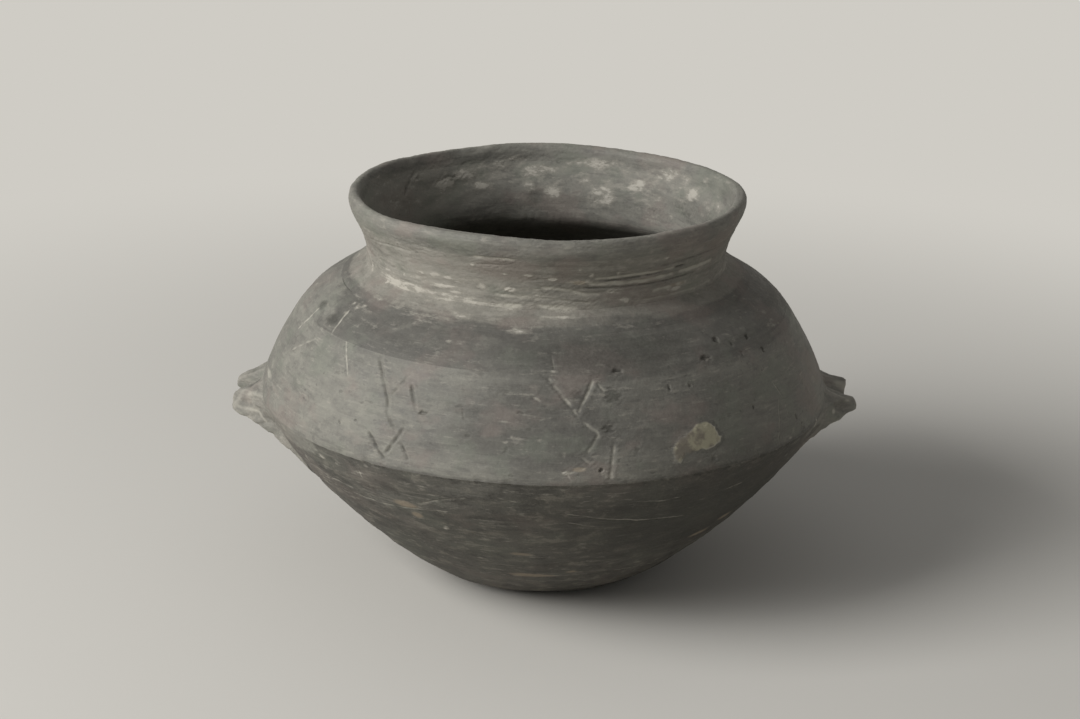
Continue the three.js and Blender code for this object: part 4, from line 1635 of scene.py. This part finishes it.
@dataclass(frozen=True)
class LugForm:
    """A ledge-like lug pinched into two horns, with a thumb's trough along its top.

    Its faces are planes through measured corners, given for the front half as reach from the
    axis, distance to the front and height. The back half has its own tip.
    """

    side: float
    top_wall: Point
    front_tip: Point
    back_tip: Point
    root_corner: Point
    crest_tip: Point
    crest_root: Point
    keel: Point
    trough: tuple[Point, Point]
    dents: tuple[Dent, ...]
    smears: tuple[Smear, ...]
    cuts: tuple[tuple[Point, Point, Point], ...]
    smoke_line: float
    wall: Wall = Wall()
    trough_radius: float = 8.0
    edge_rounding: float = 1.3
    near_fillet: float = 1.8
    side_fillet: float = 14.0
    sink: float = 0.28
    ease: float = 1.2

    @cached_property
    def faces(self) -> list[tuple[np.ndarray, float]]:
        """Outward normal and distance of each plane that bounds the lug."""
        inside = np.array([110.0, 0.0, 74.0])
        flip = np.array([1, -1, 1])
        rear = np.array(self.back_tip)
        shift = rear - np.array(self.front_tip) * flip
        front = [self.top_wall, self.front_tip, self.root_corner, self.crest_tip,
                 self.crest_root, self.keel]
        top_wall, tip, root, crest_tip, crest_root, keel = (np.array(p, float) for p in front)
        middle = (tip + rear) / 2
        triples = [
            (top_wall, top_wall * flip, middle * np.array([1, 0, 1])),
            (top_wall, tip, root),
            (top_wall * flip, rear, root * flip),
            (crest_tip, crest_root, keel),
            (crest_tip * flip + shift, crest_root * flip, keel),
            (tip, rear, middle + np.array([0.6, 0, -5.0])),
            *(tuple(np.array(point) for point in cut) for cut in self.cuts),
        ]
        faces = []
        for a, b, c in triples:
            normal = np.cross(b - a, c - a)
            normal /= np.linalg.norm(normal)
            if (inside - a) @ normal > 0:
                normal = -normal
            faces.append((normal, float(a @ normal)))
        return faces

    def trough_gap(self, spot: np.ndarray) -> np.ndarray:
        """Distance to the thumb that pressed the trough."""
        start, end = (np.array(point) + (0, 0, self.trough_radius) for point in self.trough)
        heading = (end - start) / np.linalg.norm(end - start)
        run = np.maximum((spot - start) @ heading, 0)
        return np.linalg.norm(spot - start - run[:, None] * heading, axis=1) - self.trough_radius

    def gap(self, spot: np.ndarray) -> np.ndarray:
        """Distance to the lug alone, negative inside it."""
        warp = np.stack([Ripple(16, 13, 0.16, seed).at(spot) for seed in (75, 76, 77)], axis=-1)
        spot = spot + warp
        total = np.full(len(spot), -50.0)
        for normal, offset in self.faces:
            total = smooth_max(total, spot @ normal - offset, self.edge_rounding)
        for dent in self.dents:
            pressed = dent.radius - to_segment(spot, dent.start, dent.end)
            total = smooth_max(total, pressed, self.edge_rounding)
        return smooth_max(total, -self.trough_gap(spot), self.edge_rounding)

    def ridge_gap(self, spot: np.ndarray) -> np.ndarray:
        """How far a point is from the lug's ridges: the gap between its two nearest faces."""
        gaps = np.stack([spot @ normal - offset for normal, offset in self.faces]
                        + [-self.trough_gap(spot)])
        ordered = np.sort(gaps, axis=0)
        return ordered[-1] - ordered[-2]

    def joined_gap(self, spot: np.ndarray) -> np.ndarray:
        """Distance to lug and wall together, with clay smeared where they meet."""
        radius = np.hypot(spot[:, 0], spot[:, 1])
        slope = self.wall.normal_at(spot[:, 2])[:, 0]
        eased = np.mean([self.wall.radius_at(spot[:, 2] + step)
                         for step in np.linspace(-self.ease, self.ease, 7)], axis=0)
        to_wall = (radius - eased) * slope + self.sink
        aside = ramp(np.abs(spot[:, 1]), 9, 21)
        level = (0.42 + 0.58 * ramp(spot[:, 2], 66, 77)) * (1 - ramp(spot[:, 2], 79, 84))
        under = 0.35 * ramp(spot[:, 2], 78, 72)
        share = np.maximum(aside * level, under)
        fillet = self.near_fillet + (self.side_fillet - self.near_fillet) * share
        return smooth_min(self.gap(spot), to_wall, fillet)

    def outward(self, spot: np.ndarray) -> np.ndarray:
        """Outward direction of the joined surface."""
        step = 0.05
        slopes = [self.joined_gap(spot + step * axis) - self.joined_gap(spot - step * axis)
                  for axis in np.eye(3)]
        normal = np.stack(slopes, axis=-1)
        return normal / np.linalg.norm(normal, axis=-1, keepdims=True)


@dataclass
class Lug:
    """Shapes a lug and the wall round its root as one thin shell."""

    node: str
    handwork: Handwork
    material: bpy.types.Material
    form: LugForm
    half_width: float = 46.0
    axis: tuple[float, float] = (100.0, 78.0)
    fan: tuple[float, float] = (-108.0, 44.0)
    steps: tuple[int, int] = (176, 170)
    shell: float = 2.2
    first_reach: float = 44.0
    march_steps: int = 110
    march_share: float = 0.8

    def build(self) -> bpy.types.Object:
        """Spread a grid over the lug and the wall round it, give it a back and dress it.

        Returns:
            The finished piece.
        """
        bm = bmesh.new()
        across = bm.verts.layers.float.new("across")
        upward = bm.verts.layers.float.new("upward")
        bmesh.ops.create_grid(bm, x_segments=self.steps[0], y_segments=self.steps[1], size=0.5)
        for vert in bm.verts:
            vert[across], vert[upward] = vert.co.x, vert.co.y
        added = bmesh.ops.extrude_face_region(bm, geom=bm.faces[:])
        back = {item for item in added["geom"] if isinstance(item, bmesh.types.BMVert)}
        table = np.array([(v[across], v[upward], v in back) for v in bm.verts])
        place, marks = self._shape(table[:, 0] + 0.5, table[:, 1] + 0.5, table[:, 2] > 0.5)
        write_marks(bm, marks)
        for vert, spot in zip(bm.verts, (place * MM).tolist()):
            vert.co = spot
        for face in bm.faces:
            face.smooth = True
        bmesh.ops.recalc_face_normals(bm, faces=bm.faces)
        return finish_piece(bm, f"{self.node}_clay", self.node, [self.material])

    def _along(self, turn: np.ndarray, aside: np.ndarray, reach: np.ndarray) -> np.ndarray:
        """Points on rays that fan out from a line inside the jar."""
        return np.stack([self.axis[0] + reach * np.cos(turn), aside,
                         self.axis[1] + reach * np.sin(turn)], axis=-1)

    def _shape(self, across: np.ndarray, upward: np.ndarray,
               back: np.ndarray) -> tuple[np.ndarray, Layers]:
        """Find where each grid point lies.

        Args:
            across: Share of the grid's width, from the front.
            upward: Share of the fan, from below.
            back: True for points on the hidden back of the shell.

        Returns:
            Places in millimetres, and the colour layers.
        """
        aside = (across - 0.5) * 2 * self.half_width
        turn = np.radians(self.fan[0] + (self.fan[1] - self.fan[0]) * upward)
        reach = np.full(len(turn), self.first_reach)
        for _ in range(self.march_steps):
            spot = self._along(turn, aside, reach)
            reach = np.maximum(reach - self.march_share * self.form.joined_gap(spot), 1.0)
        spot = self._along(turn, aside, reach)
        mirror = np.array([self.form.side, 1, 1])
        relief, marks = self.handwork.outer_relief(spot * mirror)
        from_lug = self.form.gap(spot)
        on_lug = ramp(from_lug, 4.0, 0.0)
        rough = (Ripple(11, 9, 0.16, 71).at(spot) + Ripple(4.2, 3.4, 0.08, 72).at(spot)
                 + Ripple(2.1, 1.8, 0.04, 74).at(spot))
        relief = relief * (1 - on_lug) + rough * on_lug
        spot = spot + self.form.outward(spot) * relief[:, None]
        shell = spot.copy()
        angle = np.arctan2(shell[:, 1], shell[:, 0])
        inset = self.handwork.wall.radius_at(shell[:, 2]) - self.shell
        shell[:, 0], shell[:, 1] = inset * np.cos(angle), inset * np.sin(angle)
        # Lighter along the lug's ridges: wear, with a painted highlight
        wear_and_light = ramp(self.form.ridge_gap(spot), 2.0, 0.2)
        marks["wear_and_light"] = np.maximum(marks["wear_and_light"] * (1 - on_lug), 0.6 * wear_and_light * on_lug)
        line = self.form.smoke_line
        away = np.maximum(ramp(from_lug, 1.5, 6.0), ramp(spot[:, 1], 22.0, 30.0))
        marks["scraped"] = ramp(spot[:, 2], line, line - 5.0) * away
        for smear in self.form.smears:
            gap = to_segment(spot, smear.start, smear.end) / smear.radius
            lift(marks, smear.layer, smear.strength * np.exp(-gap ** 2))
        spot[back] = shell[back]
        return spot * mirror, marks


RIGHT_LUG = LugForm(
    side=1.0, top_wall=(119.0, -15.5, 82.6), front_tip=(132.1, -13.5, 79.2),
    back_tip=(130.6, 13.0, 79.3), root_corner=(113.0, -29.0, 69.2),
    crest_tip=(131.0, -14.5, 74.9), crest_root=(114.0, -28.0, 70.4),
    keel=(110.0, 0.0, 63.4), trough=((119.0, 0.0, 81.9), (127.0, 0.0, 76.2)),
    dents=(Dent((119.0, -20.2, 79.4), (127.5, -18.0, 78.2), 3.0),
           Dent((121.0, 19.9, 78.6), (127.0, 17.6, 77.6), 2.8)),
    # The pale smears along the front horn's crest paint a highlight; a pale spot, a pale patch on
    # the back horn and a lighter streak at the root; the dark smears paint shade in the dent and
    # the trough
    smears=(Smear("pale", (120.5, -10.4, 82.3), (122.8, -13.2, 81.5), 1.1, 0.6),
            Smear("pale", (122.8, -13.2, 81.5), (128.2, -14.7, 79.0), 1.1, 0.6),
            Smear("pale", (121.9, -21.8, 77.2), (121.6, -22.1, 76.8), 1.1, 0.95),
            Smear("pale", (127.0, 6.9, 79.4), (128.7, 6.8, 78.4), 2.4, 0.75),
            Smear("wear_and_light", (115.9, -18.4, 80.5), (114.9, -22.6, 75.6), 3.0, 0.9),
            Smear("dark", (122.2, -20.0, 79.8), (126.9, -15.6, 78.0), 1.5, 0.5),
            Smear("dark", (126.0, -4.0, 78.0), (128.0, 3.0, 77.2), 3.0, 0.3)),
    cuts=(((132.6, -13.5, 76.0), (128.2, -13.5, 80.3), (134.5, -3.0, 79.0)),
          ((129.3, 13.0, 79.8), (126.9, 13.0, 74.2), (132.1, 2.0, 80.2))),
    smoke_line=77.0)

LEFT_LUG = LugForm(
    side=-1.0, top_wall=(117.0, -15.5, 83.6), front_tip=(131.2, -13.5, 75.6),
    back_tip=(132.0, 13.0, 77.6), root_corner=(109.0, -31.0, 64.4),
    crest_tip=(130.4, -14.5, 70.6), crest_root=(109.5, -31.0, 63.8),
    keel=(107.0, 0.0, 59.8), trough=((119.0, 0.0, 82.3), (127.0, 0.0, 73.6)),
    dents=(Dent((126.5, -20.0, 75.2), (118.5, -23.8, 74.2), 3.0),
           Dent((119.0, 21.0, 77.0), (127.0, 18.4, 75.6), 3.0)),
    # The thin pale smears along the lower crest paint a highlight; a pale streak above the root,
    # one over the front horn and a lighter streak at the root; the dark smears paint shade in the
    # trough and the groove above the crest
    smears=(Smear("pale", (117.8, -8.0, 87.8), (116.4, -15.0, 89.2), 1.8, 0.5),
            Smear("pale", (123.8, -16.5, 78.2), (119.6, -22.9, 80.5), 1.7, 0.5),
            Smear("pale", (128.9, -16.0, 72.8), (123.3, -18.9, 72.3), 0.9, 0.6),
            Smear("pale", (123.3, -18.9, 72.3), (119.5, -22.1, 72.7), 0.9, 0.6),
            Smear("pale", (119.5, -22.1, 72.7), (115.8, -25.8, 69.2), 0.8, 0.65),
            Smear("wear_and_light", (113.7, -20.9, 77.3), (111.0, -25.0, 71.0), 3.0, 0.9),
            Smear("dark", (123.6, -12.6, 80.2), (120.6, -7.6, 81.6), 2.7, 0.6),
            Smear("dark", (126.0, -16.9, 74.6), (118.5, -20.4, 73.9), 1.3, 0.35)),
    cuts=(((131.4, -14.0, 72.4), (127.2, -14.0, 78.6), (133.8, -2.0, 75.5)),
          ((117.0, 15.5, 84.9), (131.5, 13.0, 76.3), (125.0, -6.0, 84.6))),
    smoke_line=67.0)


# ---------------------------------------------------------------------------------------------
# Stage, light and camera


@dataclass(frozen=True)
class Studio:
    """A pale floor and soft light, and the camera where the photographer stood."""

    camera_distance: float = 978.86
    camera_pitch: float = 18.46
    camera_roll: float = 0.98
    aim_aside: float = -1.76
    aim_height: float = 90.17
    focal_pixels: float = 2300.0
    picture_width: float = 1080.0
    sensor: float = 36.0
    floor_radius: float = 3.2
    floor_segments: int = 96
    shadow_radius: float = 0.21
    plain_radius: float = 0.714
    floor_colour: str = "#cfccc5"
    key_place: tuple[float, float, float] = (-1.577, -0.76, 1.16)
    key_size: float = 1.2
    key_watts: float = 48.0
    world_strength: float = 0.24

    def build(self) -> None:
        """Set up floor, world, lamps, camera and view."""
        self._floor()
        self._world()
        self._key_light()
        self._camera()
        bpy.context.scene.view_settings.view_transform = "Standard"

    def _floor(self) -> None:
        """Lay a wide disc whose far part shows its plain colour to the camera."""
        bm = bmesh.new()
        bmesh.ops.create_circle(bm, cap_ends=True, segments=self.floor_segments,
                                radius=self.floor_radius)
        mesh = bpy.data.meshes.new("studio_floor")
        bm.to_mesh(mesh)
        bm.free()
        floor = bpy.data.objects.new("studio_floor", mesh)
        bpy.context.scene.collection.objects.link(floor)
        material = bpy.data.materials.new("matt_studio_paper")
        material.use_nodes = True
        tree = material.node_tree
        tree.nodes.clear()
        place = add_node(tree, "ShaderNodeTexCoord").outputs["Object"]
        distance = add_node(tree, "ShaderNodeVectorMath", {"Vector": place}, operation="LENGTH")
        far = add_node(tree, "ShaderNodeMapRange", {
            "Value": distance.outputs["Value"], "From Min": self.shadow_radius,
            "From Max": self.plain_radius}, interpolation_type="SMOOTHSTEP")
        seen = self._seen(tree)
        share = add_node(tree, "ShaderNodeMath", {"Value": far.outputs[0], "Value_001": seen},
                         operation="MULTIPLY")
        paper = add_node(tree, "ShaderNodeBsdfDiffuse", {"Color": linear(self.floor_colour)})
        glow = add_node(tree, "ShaderNodeEmission", {"Color": linear(self.floor_colour)})
        mixed = add_node(tree, "ShaderNodeMixShader", {
            "Fac": share.outputs[0], "Shader": paper.outputs[0], "Shader_001": glow.outputs[0]})
        add_node(tree, "ShaderNodeOutputMaterial", {"Surface": mixed.outputs[0]})
        mesh.materials.append(material)

    @staticmethod
    def _seen(tree: bpy.types.NodeTree) -> Socket:
        """Tell rays that show a thing, straight or in a sheen, from rays that light others."""
        rays = add_node(tree, "ShaderNodeLightPath").outputs
        seen = rays["Is Camera Ray"]
        for name in ("Is Glossy Ray", "Is Transmission Ray"):
            seen = add_node(tree, "ShaderNodeMath", {"Value": seen, "Value_001": rays[name]},
                            operation="MAXIMUM").outputs[0]
        return seen

    def _world(self) -> None:
        """Fill with even light, and show the floor's colour behind the jar."""
        world = bpy.data.worlds.new("studio_world")
        bpy.context.scene.world = world
        world.use_nodes = True
        tree = world.node_tree
        tree.nodes.clear()
        seen = self._seen(tree)
        fill = add_node(tree, "ShaderNodeBackground", {
            "Color": (1.0, 1.0, 1.0, 1.0), "Strength": self.world_strength})
        behind = add_node(tree, "ShaderNodeBackground", {"Color": linear(self.floor_colour)})
        mixed = add_node(tree, "ShaderNodeMixShader", {
            "Fac": seen, "Shader": fill.outputs[0], "Shader_001": behind.outputs[0]})
        add_node(tree, "ShaderNodeOutputWorld", {"Surface": mixed.outputs[0]})

    def _key_light(self) -> None:
        """Hang a square soft light that faces the jar, from the upper left."""
        light = bpy.data.lights.new("key_light", "AREA")
        light.energy = self.key_watts
        light.size = self.key_size
        lamp = bpy.data.objects.new("key_light", light)
        bpy.context.scene.collection.objects.link(lamp)
        lamp.location = self.key_place
        aim = Vector((0, 0, self.aim_height * MM)) - lamp.location
        lamp.rotation_euler = aim.to_track_quat("-Z", "Y").to_euler()

    def _camera(self) -> None:
        """Put the camera where the photograph was taken from."""
        pitch = math.radians(self.camera_pitch)
        right = Vector((1, 0, 0))
        forward = Vector((0, math.cos(pitch), -math.sin(pitch)))
        up = Vector((0, math.sin(pitch), math.cos(pitch)))
        data = bpy.data.cameras.new("camera")
        data.sensor_width = self.sensor
        data.lens = self.focal_pixels / self.picture_width * self.sensor
        camera = bpy.data.objects.new("camera", data)
        bpy.context.scene.collection.objects.link(camera)
        aim = Vector((self.aim_aside, 0, self.aim_height)) * MM
        camera.location = aim - forward * self.camera_distance * MM
        turn = Matrix((right, up, -forward)).transposed()
        roll = Matrix.Rotation(math.radians(self.camera_roll), 3, "Z")
        camera.rotation_euler = (turn @ roll).to_euler()
        bpy.context.scene.camera = camera


# ---------------------------------------------------------------------------------------------
# The jar


@dataclass
class Jar:
    """All elements of the jar, built from the base up."""

    handwork: Handwork = field(default_factory=lambda: Handwork(Wall()))
    base_seam: float = 0.17
    coil_seam: float = 0.58

    def build(self) -> list[bpy.types.Object]:
        """Build every element.

        Returns:
            The pieces, from the base to the lugs.
        """
        smoked, rubbed, pinched, dark_band, limed, lip, inner = (
            ware.build() for ware in (SMOKED_WARE, RUBBED_WARE, PINCHED_WARE, DARK_BAND_WARE,
                                      LIMED_WARE, LIP_WARE, INNER_WARE))
        hand = self.handwork
        elements = [
            Base("base_disc", Slot.SMOKED, hand, smoked, inner, seam=self.base_seam),
            Band("lower_wall_coil_1", Slot.SMOKED, hand, smoked, inner,
                 below=self.base_seam, above=self.coil_seam),
            Band("lower_wall_coil_2", Slot.SMOKED, hand, smoked, inner,
                 below=self.coil_seam, above=1),
            Band("belly_band", Slot.RUBBED, hand, rubbed, inner, below=1, above=2),
            Band("shoulder_band", Slot.DARK_BAND, hand, dark_band, inner, 1.0,
                 refinements=1, below=2, above=3),
            Band("shoulder_crown", Slot.LIMED, hand, limed, inner, 0.8,
                 refinements=1, below=3, above=4),
            Band("neck_collar", Slot.LIMED, hand, limed, inner, 0.6, 0.9,
                 refinements=1, below=4, above=5),
            RolledLip("rim_lip", Slot.RUBBED, hand, lip, inner, 0.6, refinements=1),
            Lug("lug_right", hand, pinched, RIGHT_LUG),
            Lug("lug_left", hand, pinched, LEFT_LUG),
        ]
        return [element.build() for element in elements]


def main() -> None:
    """Load the frame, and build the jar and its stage."""
    logging.basicConfig(level=logging.INFO, format="%(name)s: %(message)s")
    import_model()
    pieces = Jar().build()
    Studio().build()
    LOG.info("%d pieces dressed", len(pieces))


if __name__ == "__main__":
    main()
